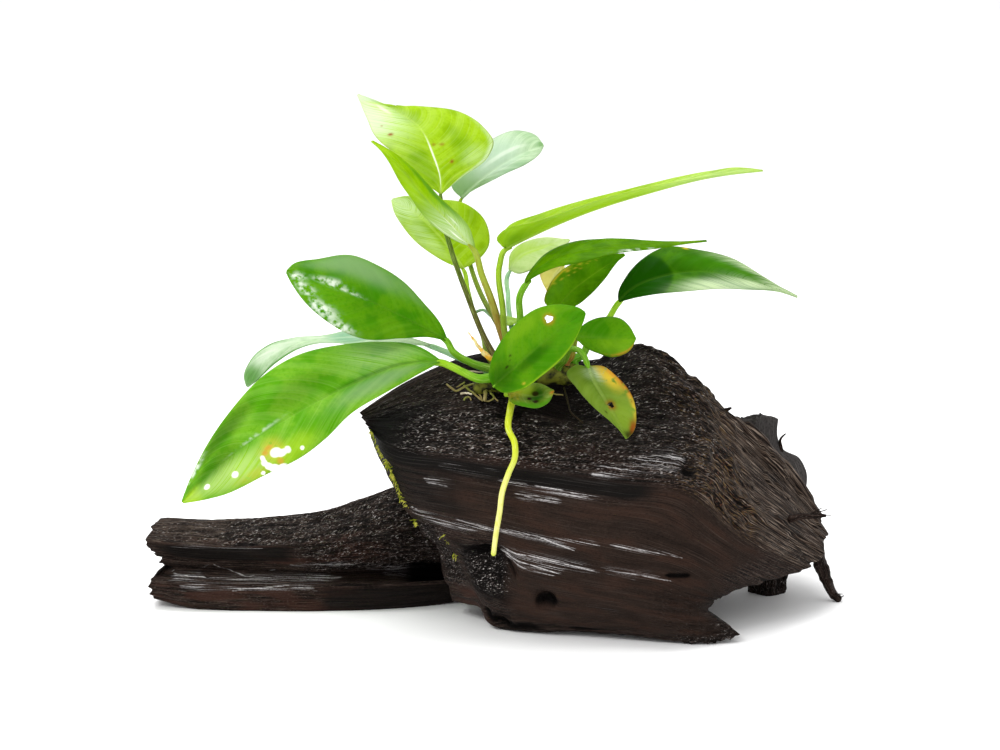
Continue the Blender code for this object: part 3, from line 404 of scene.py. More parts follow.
# Strokes on the skin: from, to, half width in mm and strength
blockStrokes = {
    # rims: wet edges given a painted highlight
    "rim": [
        ((80, 8, 68.3), (87, 16, 63), 0.4, 0.5), ((93, 18, 58), (99, 19.6, 50.6), 0.4, 0.5),
        ((-11, -35, 32.4), (-5, -38, 33), 0.35, 0.6), ((-5, -38, 33), (2, -41, 31.6), 0.4, 0.7),
        ((0.6, -30.6, 7.6), (1.5, -32, 6.4), 0.3, 0.5), ((1.5, -32, 6.4), (9, -35, 5.9), 0.3, 0.5),
        ((13.4, -43, 15.2), (14.4, -43, 14), 0.5, 0.8), ((21.6, -44, 13.4), (22.6, -44, 13.8), 0.5, 0.9),
        ((58, -46, 26.2), (66, -45, 25.4), 0.3, 0.5), ((66, -42, 22.6), (73, -38, 19.5), 0.35, 0.5),
    ],
    # shining splinters, raised a little and given a painted highlight
    "streakHighlight": [
        ((-22, -35, 55), (-12, -39, 54), 0.9, 0.6), ((3, -42, 56), (36, -45, 50.5), 0.9, 0.7),
        ((8, -43, 51.5), (23, -45, 49.5), 1.1, 0.8), ((-27, -27, 42.5), (1, -42, 39), 0.9, 0.8),
        ((-26, -26, 41), (-5, -41, 38), 1.3, 0.8), ((3, -43, 40), (28, -46, 34), 0.9, 0.8),
        ((3, -43, 39), (18, -45, 36.5), 0.8, 0.7), ((21, -45, 38), (36, -46, 35), 0.8, 0.6),
        ((2, -42, 32), (36, -47, 26.3), 1.3, 0.8), ((2, -41, 29.8), (23, -45, 25.3), 1.5, 0.9),
        ((14, -45, 29.3), (25, -45, 27), 1.8, 0.8), ((36, -47, 27), (56, -47, 24.5), 0.9, 0.5),
        ((40, -46, 35), (62, -44, 31), 0.8, 0.35), ((-17, -36, 60), (3, -40, 58.5), 0.9, 0.6),
        ((48, -36, 61), (64, -34, 60.6), 2.2, 0.65), ((34, -42, 58.3), (52, -40, 59.8), 1.3, 0.7),
        ((68, 5, 79), (92, 18, 52), 0.9, 0.5), ((30, -47, 14), (44, -48, 12), 0.7, 0.3),
    ],
    "glint": [
        ((-23, -35, 54), (-13, -38, 53), 0.27, 0.8), ((3, -42, 56), (13, -43, 55), 0.25, 1.0),
        ((13, -43, 55), (25, -44, 53), 0.25, 1.0), ((25, -44, 53), (36, -45, 50), 0.25, 1.0),
        ((7, -43, 52), (17, -44, 51), 0.27, 1.0), ((17, -44, 51), (23, -45, 49), 0.25, 0.9),
        ((11, -43, 51), (22, -45, 49), 0.25, 0.9), ((-27, -27, 43), (-13, -37, 42), 0.27, 1.0),
        ((-13, -37, 42), (1, -42, 39), 0.27, 1.0), ((1, -42, 39), (15, -45, 38), 0.25, 0.8),
        ((15, -45, 38), (28, -46, 33), 0.25, 1.0), ((-26, -26, 41), (-12, -37, 39), 0.27, 0.9),
        ((-12, -37, 39), (-4, -41, 38), 0.27, 0.9), ((2, -42, 32), (13, -44, 31), 0.27, 1.0),
        ((13, -44, 31), (23, -45, 29), 0.27, 1.0), ((23, -45, 29), (36, -47, 26), 0.27, 1.0),
        ((36, -47, 26), (50, -48, 23), 0.25, 0.9), ((2, -41, 30), (13, -44, 28), 0.27, 1.0),
        ((13, -44, 28), (23, -45, 25), 0.27, 1.0), ((3, -41, 29), (13, -44, 26), 0.25, 1.0),
        ((13, -44, 26), (22, -45, 24), 0.25, 0.9), ((40, -46, 35), (56, -45, 32), 0.24, 0.8),
        ((56, -45, 32), (64, -44, 30), 0.24, 0.7), ((36, -47, 27), (50, -47, 25), 0.25, 0.9),
        ((50, -47, 25), (60, -47, 23), 0.32, 0.8), ((60, -47, 23), (70, -42, 19), 0.24, 0.6),
        ((42, -38, 61), (53, -33, 62), 0.3, 0.6), ((53, -33, 62), (65, -34, 59), 0.3, 0.6),
        ((31, -47, 14.4), (40, -48, 13), 0.24, 0.6), ((44, -46, 42), (52, -45, 40.6), 0.24, 0.5),
    ],
    # hollows: pits, slits and the undercut at the foot, blackened with painted shade
    "hollow": [
        ((58, -46, 25), (67, -45, 24), 0.9, 1.0), ((14.5, -44, 13.8), (22.5, -44, 13.8), 2.4, 1.0),
        ((50, -34, 63), (64, -33, 62), 0.5, 0.9), ((48, -16, 72), (60, -14, 72), 0.6, 0.8),
        ((64, -36, 58), (68, -36, 57), 1.3, 0.9), ((88, 3, 57), (93, 4, 54), 1.2, 0.8),
        ((78, -24, 52), (84, -20, 48), 0.6, 0.6), ((20, -38, 61.5), (44, -38, 61), 0.4, 0.5),
        ((-2, -29, 8.4), (0, -28.5, 5), 0.9, 1.0), ((0, -28.5, 5), (2, -30, 3), 1.5, 1.0),
        ((2, -30, 3), (8, -34, 3.2), 1.7, 1.0), ((8, -34, 3.2), (15.5, -38, 4), 1.0, 1.0),
        ((-6, -36, 30), (3, -40, 28), 1.6, 0.6), ((4, -41, 26), (8, -42, 22), 1.3, 0.6),
    ],
}

limbEdges = {
    "top": [(-116, 20, 27.5), (-101, 18, 27.5), (-81, 18, 28), (-60, 18, 30), (-46, 20, 34),
            (-32, 22, 38.5), (-4, 22, 33)],
    "brow": [(-122, 4, 23), (-102, 2, 22), (-81, 1, 22), (-60, 1, 23), (-42, 2, 24),
             (-25, 6, 22), (0, 10, 20)],
    "groove_top": [(-117, 5, 17), (-100, 3.5, 15.5), (-81, 2.5, 15.5), (-60, 1.5, 15), (-41, 5, 15),
                   (-25, 10, 14), (0, 13, 12)],
    "groove": [(-113.5, 6, 13), (-101, 4, 12.5), (-82, 3, 12), (-60, 3, 11), (-39, 12, 9),
               (-22, 16, 7), (0, 17, 8)],
    "slab_top": [(-119, -2, 10), (-100, -4, 9.5), (-81, -4, 9.5), (-60, -4, 9), (-39, -3, 9),
                 (-18, 1, 9), (-1, 7, 8)],
    "slab_foot": [(-118.5, 0, 3), (-102, -3, 0), (-81, -4, -1), (-60, -4, -1), (-39, -2, -1),
                  (-18, 3, 0), (-2, 9, 2)],
    "back_foot": [(-113, 28, 4), (-100, 29, 0), (-81, 29, -1), (-60, 28, -1), (-40, 28, -1),
                  (-20, 27, 0), (-2, 23, 3)],
    "back": [(-111, 34, 16), (-100, 35, 15), (-81, 35, 14), (-60, 35, 15), (-42, 35, 18),
             (-26, 33, 22), (-4, 28, 20)],
}
limbZones = {
    "char": [(0.2, 0.85, 0.05, 1.0, 0.7), (0.45, 0.85, 0.9, 2.4, 0.75), (0.0, 0.3, 0.2, 1.0, 0.4)],
    "smooth": [(0.04, 0.42, 1.1, 1.9, 0.8), (0.5, 1.0, 4.1, 4.9, 0.7)],
    "fibre": [(0.0, 0.25, -0.2, 1.05, 0.4)],
    "red": [(0.0, 0.6, 4.1, 4.9, 0.8), (0.3, 0.7, 0.8, 2.0, 1.0), (0.0, 0.3, 0.7, 1.05, 0.7)],
    # the hollow between limb and block, blackened with painted shade
    "hollow": [(0.74, 1.0, 2.1, 3.9, 0.85)],
}
limbStrokes = {
    "glint": [
        ((-114, 6, 14), (-112, 4, 12), 0.26, 0.8), ((-112, 4, 12), (-105, -1, 11), 0.26, 0.8),
        ((-102, 4, 13), (-98, 3, 15), 0.26, 0.7), ((-98, 3, 15), (-90, 3, 12), 0.26, 0.8),
        ((-90, 3, 12), (-85, 0, 11), 0.26, 0.7), ((-85, 0, 11), (-75, 3, 13), 0.26, 0.8),
        ((-113, -2.4, 10), (-107, -3, 10), 0.26, 0.5), ((-103, 0, 11), (-88, -2, 10), 0.26, 0.8),
        ((-88, -2, 10), (-67, -1, 10), 0.26, 0.8), ((-67, -1, 10), (-51, 4, 10), 0.26, 0.7),
        ((-110, -3.4, 7), (-105, -4, 7), 0.26, 0.5), ((-91, -5, 7), (-84, -4, 8), 0.26, 0.8),
        ((-84, -4, 8), (-70, -4, 9), 0.26, 0.8), ((-70, -4, 9), (-51, -2, 9), 0.26, 0.8),
        ((-70, -4, 8), (-59, -4, 7), 0.26, 0.7),
    ],
    # shining splinters and recess edges, raised a little and given a painted highlight
    "streakHighlight": [
        ((-112, 0, 11), (-100, 0, 11), 1.0, 0.9), ((-98, -1, 10.5), (-53, 1, 10.5), 1.0, 0.85),
        ((-108, -4, 8.6), (-62, -4, 8.2), 0.9, 0.75), ((-112, 2, 21), (-80, 1, 21), 0.6, 0.4),
        ((-70, 2, 15), (-48, 3, 15), 0.6, 0.5), ((-44, 5, 12), (-34, 10, 12), 1.4, 0.8),
        ((-36, 9.6, 11.7), (-24, 13, 10.6), 1.6, 0.7), ((-38, 12.2, 8.9), (-25, 15, 7.6), 1.0, 0.5),
    ],
}

rearEdges = {
    "left": [(92, 19, 0), (91, 28, 12), (89, 38, 24), (86, 45, 40), (86, 47, 50), (87, 47, 56)],
    "front": [(98, 13, 0), (99, 21, 10), (99, 32, 24), (98, 40, 38), (97, 43, 50), (96, 44, 57)],
    "right": [(105, 18, 0), (108, 28, 12), (113, 40, 27), (114.5, 46, 38), (112, 47, 42.5),
              (106, 47, 46), (104.5, 47, 49), (104.5, 47, 57)],
    "back": [(99, 27, 0), (100, 36, 12), (101, 46, 24), (101, 50, 40), (98, 50, 50), (97, 50, 57)],
}
rearZones = {"char": [(0.0, 0.3, 0, 4, 0.6)], "grey": [(0.33, 1.05, -1, 4, 0.85)]}
# a shining splinter with a painted highlight
rearStrokes = {"streakHighlight": [((106, 18, 3), (110, 26, 12), 0.8, 0.6)]}

# The three pieces. rows and perEdge: rings along a piece, and points round it between two long edges.
# rounding: 0 for straight sides between the long edges, 1 for round ones. fibres and rough: how many
# fibres lie round it, and the share of the relief that it gets. hollows: where its left and right end
# sink to, over capRings rings. teeth: how far each end is jagged. outline: how far each end stands out at
# places round it, counted in long edges. dents: place, radius and depth. All lengths are in mm
woodForms = {
    "driftwoodBlock": {
        "node": "driftwood_block", "edges": blockEdges, "zones": blockZones, "strokes": blockStrokes,
        "rows": 300, "perEdge": (34, 42, 58, 54, 38, 12, 12, 14, 14, 16), "rounding": 0.35,
        "seed": 3, "fibres": 110, "rough": 1.0,
        "hollows": ((-20, 2, 38), (64, 2, 7)), "capRings": 10, "teeth": (2.0, 1.2),
        "outline": (((1.0, 0), (1.8, 0.4), (2.1, 2.6), (2.35, 2.2), (2.6, 0.8), (2.85, 0.6), (3.2, 0),
                     (3.6, 0)),
                    ((0, 0.5), (0.2, -1.5), (0.35, 1.2), (0.55, -1.2), (0.75, 0.2), (1, -2.2), (1.3, -1.2),
                     (1.6, 0.5), (2, 0), (4.4, 0), (5, -1.5), (5.5, -0.5), (6, 0))),
        "dents": [((0, -40, 26), 8, 5.5), ((18, -43, 14), 3.7, 3.0), ((3, -31, 3), 3.2, 2.0)],
    },
    "driftwoodLeftLimb": {
        "node": "driftwood_left_limb", "edges": limbEdges, "zones": limbZones, "strokes": limbStrokes,
        "rows": 240, "perEdge": (34, 34, 30, 30, 30, 16, 16, 24), "rounding": 0.4,
        "seed": 11, "fibres": 84, "rough": 0.7,
        "hollows": ((-112, 16, 15), (2, 18, 16)), "capRings": 10, "teeth": (3.0, 0),
        "outline": (((0, 0),), ((0, 0),)),
        "dents": [],
    },
    "driftwoodRearLimb": {
        "node": "driftwood_rear_limb", "edges": rearEdges, "zones": rearZones, "strokes": rearStrokes,
        "rows": 150, "perEdge": (40, 36, 36, 36), "rounding": 0.7,
        "seed": 17, "fibres": 40, "rough": 0.8,
        "hollows": ((98, 19, 0), (96, 47, 56.5)), "capRings": 6, "teeth": (0, 0),
        "outline": (((0, 0),),
                    ((0, -0.4), (0.4, 0.9), (0.8, 0.2), (1.2, 1.2), (1.6, 0.9), (2, -0.8), (2.6, 0.5),
                     (3.2, 1.0), (3.6, 0))),
        "dents": [],
    },
}


def patchMask(along, around, count, zones):
    # soft-edged boxes on the unrolled skin: full inside, and falling off over 0.06 of the length along and
    # 0.16 of an edge round
    total = np.zeros(np.broadcast(along, around).shape)
    for alongFrom, alongTo, aroundFrom, aroundTo, strength in zones:
        down = (alongTo - alongFrom) / 2 - np.abs(along - (alongTo + alongFrom) / 2)
        middle = (aroundTo + aroundFrom) / 2
        turned = np.abs((around - middle + count / 2) % count - count / 2)
        across = (aroundTo - aroundFrom) / 2 - turned
        soft = np.clip(down / 0.06 + 0.5, 0, 1) * np.clip(across / 0.16 + 0.5, 0, 1)
        total = np.maximum(total, strength * soft)
    return total


def strokeMask(points, strokes):
    # a bell over the distance to straight strokes that narrow to both ends; depth counts for less, because a
    # stroke's depth is only roughly known
    total = np.zeros(points.shape[:-1])
    weights = np.array([1, 0.3, 1])
    for start, end, halfWidth, strength in strokes:
        a, b = np.array(start, float) * weights, np.array(end, float) * weights
        away = points * weights - a
        share = np.clip(away @ (b - a) / ((b - a) @ (b - a)), 0, 1)
        distance = np.linalg.norm(away - share[..., None] * (b - a), axis=-1)
        taper = np.clip(4 * np.minimum(share, 1 - share) + 0.35, 0, 1)
        total = np.maximum(total, strength * np.exp(-(distance / (halfWidth * taper)) ** 2))
    return total


def terraces(noise, levels):
    # a staircase: the noise is cut into levels whose edges rise steeply
    steps = noise * levels
    whole = np.floor(steps)
    rise = np.clip((steps - whole - 0.5) * 5 + 0.5, 0, 1)
    return (whole + rise * rise * (3 - 2 * rise)) / levels


def woodPiece(name, form):
    # a loft through the long edges: between two edges the ring blends a straight line with a smooth curve,
    # and the relief of the grain pushes it along its normal. Each end closes with shrinking copies of its
    # last ring that sink to a hollow
    places = np.linspace(0, 1, form["rows"])
    lines = np.array([smoothPath(line, places) for line in form["edges"].values()])
    count, seed, fibres, rounding = len(lines), form["seed"], form["fibres"], form["rounding"]
    turn = np.concatenate([edge + np.arange(n) / n for edge, n in enumerate(form["perEdge"])])
    k = turn.astype(int)
    f = (turn - k)[:, None, None]
    before, here, after, later = (lines[(k + step) % count] for step in (-1, 0, 1, 2))
    straight = here * (1 - f) + after * f
    curved = 0.5 * (2 * here + (after - before) * f
                    + (2 * before - 5 * here + 4 * after - later) * f**2
                    + (3 * here - before - 3 * after + later) * f**3)
    skin = (straight * (1 - rounding) + curved * rounding).transpose(1, 0, 2)
    around = (turn / count)[None, :]
    forward = unit(np.gradient(skin, axis=0))
    outward = unit(np.cross(forward, np.roll(skin, -1, axis=1) - np.roll(skin, 1, axis=1)))
    if np.sum(outward * (skin - skin.mean(axis=1, keepdims=True))) < 0:
        outward = -outward
    outward = unit(outward + np.roll(outward, 2, axis=1) + np.roll(outward, -2, axis=1))
    strides = np.linalg.norm(np.diff(skin.mean(1), axis=0), axis=1)
    fromStart = np.concatenate([[0], np.cumsum(strides)])[:, None]
    mask = {label: np.maximum(patchMask(places[:, None], turn[None, :], count, form["zones"].get(label, ())),
                              strokeMask(skin, form["strokes"].get(label, ()))) for label in woodMasks}

    # the relief: layers, bundles, fibres, hairs and crumbs, each from a noise stretched along the grain
    coarse, wide, loose = fibres // 5, fibres // 2, int(fibres * 0.4)
    layers = terraces(latticeNoise(fromStart / relief["terraceLength"], around * coarse, seed, coarse), 4)
    bundle = latticeNoise(fromStart / relief["strandLength"], around * wide, seed + 3, wide)
    strand = 1 - np.abs(2 * bundle - 1)
    fine = latticeNoise(fromStart / relief["fibreLength"], around * fibres, seed + 4, fibres)
    hair = latticeNoise(fromStart / relief["hairLength"], around * 2 * fibres, seed + 5, 2 * fibres)
    crumb = latticeNoise(fromStart / relief["crumbLength"], around * 2 * fibres, seed + 6, 2 * fibres)
    lump = latticeNoise(fromStart / relief["lumpLength"], around * fibres, seed + 9, fibres)
    split = latticeNoise(fromStart / relief["splitLength"], around * fibres * 0.4, seed + 10, loose)
    # smooth, sleek and grey wood keeps a fifth of the fibres' relief
    calm = 1 - 0.8 * np.maximum(np.maximum(mask["smooth"], mask["sleek"]), mask["grey"])
    push = (relief["terraceRelief"] * (layers - 0.5) * form["rough"] * (1 - 0.5 * mask["smooth"])
            + calm * (relief["strandRelief"] * (strand - 0.5) + relief["fibreRelief"] * (2 * fine - 1)
                      + relief["hairRelief"] * (2 * hair - 1))
            + relief["crumbRelief"] * mask["char"] * (2 * crumb - 1)
            + relief["splitRelief"] * mask["fibre"] * form["rough"] * (terraces(split, 3) - 0.5)
            + relief["lumpRelief"] * mask["ochre"] * (lump - 0.5)
            + relief["streakRelief"] * mask["streakHighlight"] + relief["glintRelief"] * mask["glint"]
            - relief["hollowDepth"] * mask["hollow"])
    # a dent is flat inside and falls off over the fourth power of the distance
    for centre, radius, depth in form["dents"]:
        away = np.linalg.norm(skin - np.array(centre, float), axis=2) / radius
        push = push - depth * np.exp(-away**4) * (0.85 + 0.3 * crumb)

    # the ends slip along the grain: wide teeth, fine teeth and the outline that is asked for
    teeth = form["teeth"]
    ragged = latticeNoise(0 * around, around * fibres * 0.8, seed + 7, int(fibres * 0.8)) - 0.5
    wideTeeth, bristles = relief["teethRound"], relief["bristlesRound"]
    jag = latticeNoise(0 * around, around * wideTeeth, seed + 1, wideTeeth) - 0.5
    startFade = np.clip(1 - places / relief["endReach"], 0, 1)[:, None]
    endFade = np.clip(1 - (1 - places) / relief["endReach"], 0, 1)[:, None]
    startOut, endOut = (np.interp(turn, *zip(*shape), period=count)[None, :] for shape in form["outline"])
    slip = (endFade * (teeth[1] * jag + relief["fineTeeth"][1] * ragged * (teeth[1] > 0) + endOut)
            - startFade * (teeth[0] * jag + relief["fineTeeth"][0] * ragged * (teeth[0] > 0) + startOut))
    skin = skin + outward * push[:, :, None] + forward * slip[:, :, None]
    skin[:, :, 2] = np.maximum(skin[:, :, 2], 0)
    capRings = form["capRings"]
    steps = (np.arange(1, capRings + 1) / (capRings + 1))[:, None, None]
    caps = []
    for ring, hollow in zip((skin[0], skin[-1]), form["hollows"]):
        bristle = latticeNoise(steps[:, :, 0] * 6, around * bristles, seed + 8, bristles)[:, :, None] - 0.5
        lean = unit(ring.mean(0) - skin[form["rows"] // 2].mean(0)) * relief["bristle"]
        caps.append(ring + (np.array(hollow, float) - ring) * steps + lean * bristle * (1 - steps))
    rings = np.concatenate([caps[0][::-1], skin, caps[1]])
    rings[:, :, 2] = np.maximum(rings[:, :, 2], 0)

    # the surface map holds mm along the grain, 20 of them over each cap, and mm round the piece
    girth = np.linalg.norm(np.diff(skin, axis=1), axis=2).sum(1).max()
    capAlong = steps[:, 0, 0] * 20
    along = np.concatenate([-capAlong[::-1], fromStart[:, 0], fromStart[-1, 0] + capAlong])
    uv = np.stack(np.meshgrid(along, np.append(turn / count, 1) * girth, indexing="ij"), -1)
    # cracks run along the troughs between bundles of fibre, and get painted shade
    crack = relief["crackShade"] * (strand < relief["crackLevel"]) * calm
    mask["hollow"] = np.maximum(mask["hollow"], crack)
    masks = {label: np.pad(values, ((capRings, capRings), (0, 0)), mode="edge")
             for label, values in mask.items()}
    # the ends, which sink to a hollow, get half of its painted shade
    masks["hollow"][:capRings] = masks["hollow"][-capRings:] = 0.5
    return ringPiece(name, rings, form["hollows"], uv, masks)


# Cells of the wood's patterns in mm along and across the grain, then turn, detail and swirl. Hairs and grit
# are finer in life; they are drawn 0.4 mm wide, which is the finest that shows
woodPatterns = {
    "bundle": ("skin", (20, 0.9, 1), 0, 3, 0.0),
    "thread": ("skin", (7, 0.4, 1), 0, 2, 0.0),
    "grit": ("skin", (0.9, 0.42, 1), -8, 1, 0.3),
    "slant": ("skin", (1.2, 0.4, 1), -24, 1, 0.2),
    "speck": ("skin", (2.2, 0.5, 1), 0, 2, 0.5),
    "dash": ("skin", (24, 0.42, 1), 0, 1, 0.1),
    "cluster": ("skin", (5, 1.6, 1), -16, 3, 0.4),
    "ply": ("skin", (22, 0.55, 1), 0, 1, 0.0),
    "cloud": ("skin", (20, 7, 1), 0, 2, 0.0),
}
# colour, pattern, from, to, share and the masks that hold it
woodLayers = [
    ("0b0806", "bundle", 0.53, 0.4, 0.9),
    ("382e29", "bundle", 0.52, 0.66, 0.6),
    ("080605", "thread", 0.48, 0.37, 0.85, "rugged"),
    ("554a43", "thread", 0.55, 0.68, 0.6, "rugged"),
    # scattered painted glints, on all but smooth wood
    ("6b625c", "grit", 0.58, 0.72, 0.4, "rugged"),
    ("3c2720", "cloud", 0.44, 0.6, 0.75, "red"),
    ("382c25", "cloud", 0.3, 0.5, 0.85, "fibre"),
    ("64574c", "ply", 0.52, 0.62, 0.8, "fibre"),
    ("0a0706", "ply", 0.48, 0.41, 0.95, "fibre"),
    ("0a0706", "thread", 0.5, 0.42, 0.85, "fibre"),
    ("a29284", "thread", 0.58, 0.67, 0.6, "fibre"),
    ("0a0706", "speck", 0.52, 0.43, 0.95, "ochre"),
    ("6e5836", "speck", 0.56, 0.66, 0.75, "ochre"),
    ("5e3a2a", "grit", 0.6, 0.7, 0.6, "ochre"),
    ("080606", "shade", 0.0, 1.0, 0.85),
    ("0a0807", "cluster", 0.54, 0.42, 0.9, "char"),
    ("080605", "grit", 0.52, 0.42, 0.85, "char"),
    # painted sparkle on the charred grains, in the clusters that catch the light
    ("6a625e", "grit", 0.54, 0.68, 0.65, "char", "lit"),
    ("ccc6c2", "slant", 0.61, 0.7, 0.85, "char", "lit"),
    ("2a201b", "sleek", 0.0, 1.0, 0.85),
    ("36261f", "cloud", 0.46, 0.66, 0.7, "sleek"),
    ("1a1411", "cloud", 0.46, 0.32, 0.5, "sleek"),
    ("0c0908", "dash", 0.42, 0.34, 0.5, "sleek"),
    ("0c0908", "grit", 0.4, 0.3, 0.5, "sleek"),
    ("4a403b", "dash", 0.6, 0.7, 0.4, "sleek"),
    ("11100f", "smooth", 0.15, 0.95, 0.9),
    ("34312f", "dash", 0.58, 0.68, 0.55, "smooth"),
    ("484544", "grey", 0.0, 1.0, 0.95),
    ("585554", "cloud", 0.45, 0.62, 0.6, "grey"),
    ("343130", "bundle", 0.44, 0.34, 0.5, "grey"),
    ("1e1b1a", "grit", 0.5, 0.4, 0.5, "grey"),
    ("6b6664", "thread", 0.58, 0.68, 0.5, "grey"),
    # painted highlights on the shining splinters
    ("645d5b", "dash", 0.5, 0.56, 0.35, "streakHighlight"),
    ("e8e5e6", "dash", 0.565, 0.62, 0.9, "streakHighlight", "broken"),
    # painted highlights on wet rims, and the brightest painted glints
    ("8a8078", "rim", 0.35, 0.8, 0.7),
    ("dedada", "glint", 0.35, 0.85, 0.8, "broken"),
    # painted shade in hollows and cracks
    ("040303", "hollow", 0.1, 0.8, 0.96),
]


def wetWoodShader(tree):
    # waterlogged bogwood: almost black and wet, with redder fibre where it split and glints on torn edges;
    # the glints, the sparkle of charred grains and the black of hollows and cracks are painted highlight and
    # shade
    sources = surfaceSources(tree, woodPatterns, woodMasks)
    sources["rugged"] = addNode(tree, "ShaderNodeMapRange", None, {0: sources["smooth"], 3: 1.0, 4: 0.1})
    sources["lit"] = addNode(tree, "ShaderNodeMapRange", {"interpolation_type": "SMOOTHSTEP"},
                             {0: sources["cluster"], 1: 0.44, 2: 0.6, 3: 0.12})
    # where the painted highlight lines break off
    sources["broken"] = addNode(tree, "ShaderNodeMapRange", {"interpolation_type": "SMOOTHSTEP"},
                                {0: sources["grit"], 1: 0.36, 2: 0.52, 3: 0.35})
    colour = paintLayers(tree, "2a1f1b", woodLayers, sources)
    threads = addNode(tree, "ShaderNodeBump", None, {"Strength": 0.7, "Distance": 0.5 * mm,
                                                     "Height": sources["thread"]})
    grains = addNode(tree, "ShaderNodeBump", None, {"Strength": 0.7, "Distance": 0.5 * mm,
                                                    "Height": sources["grit"], "Normal": threads})
    rough = addNode(tree, "ShaderNodeMapRange", None, {0: sources["bundle"], 3: 0.3, 4: 0.6})
    return addNode(tree, "ShaderNodeBsdfPrincipled", None,
                   {"Base Color": colour, "IOR": 1.4, "Roughness": rough, "Specular IOR Level": 0.04,
                    "Normal": grains})


wetWood = finishMaterial("wet driftwood", wetWoodShader)
woodPieces = {}
for pieceName, form in woodForms.items():
    woodPieces[pieceName] = woodPiece(pieceName, form)
    settle(woodPieces[pieceName], wetWood, "driftwood", form["node"])
print("driftwood made")


# Leaves and stalks

rhizomeLine = [(-4, -12, 81), (6, -10, 83.5), (16, -7, 85), (26, -4.5, 84.5), (32, -3, 83.5)]

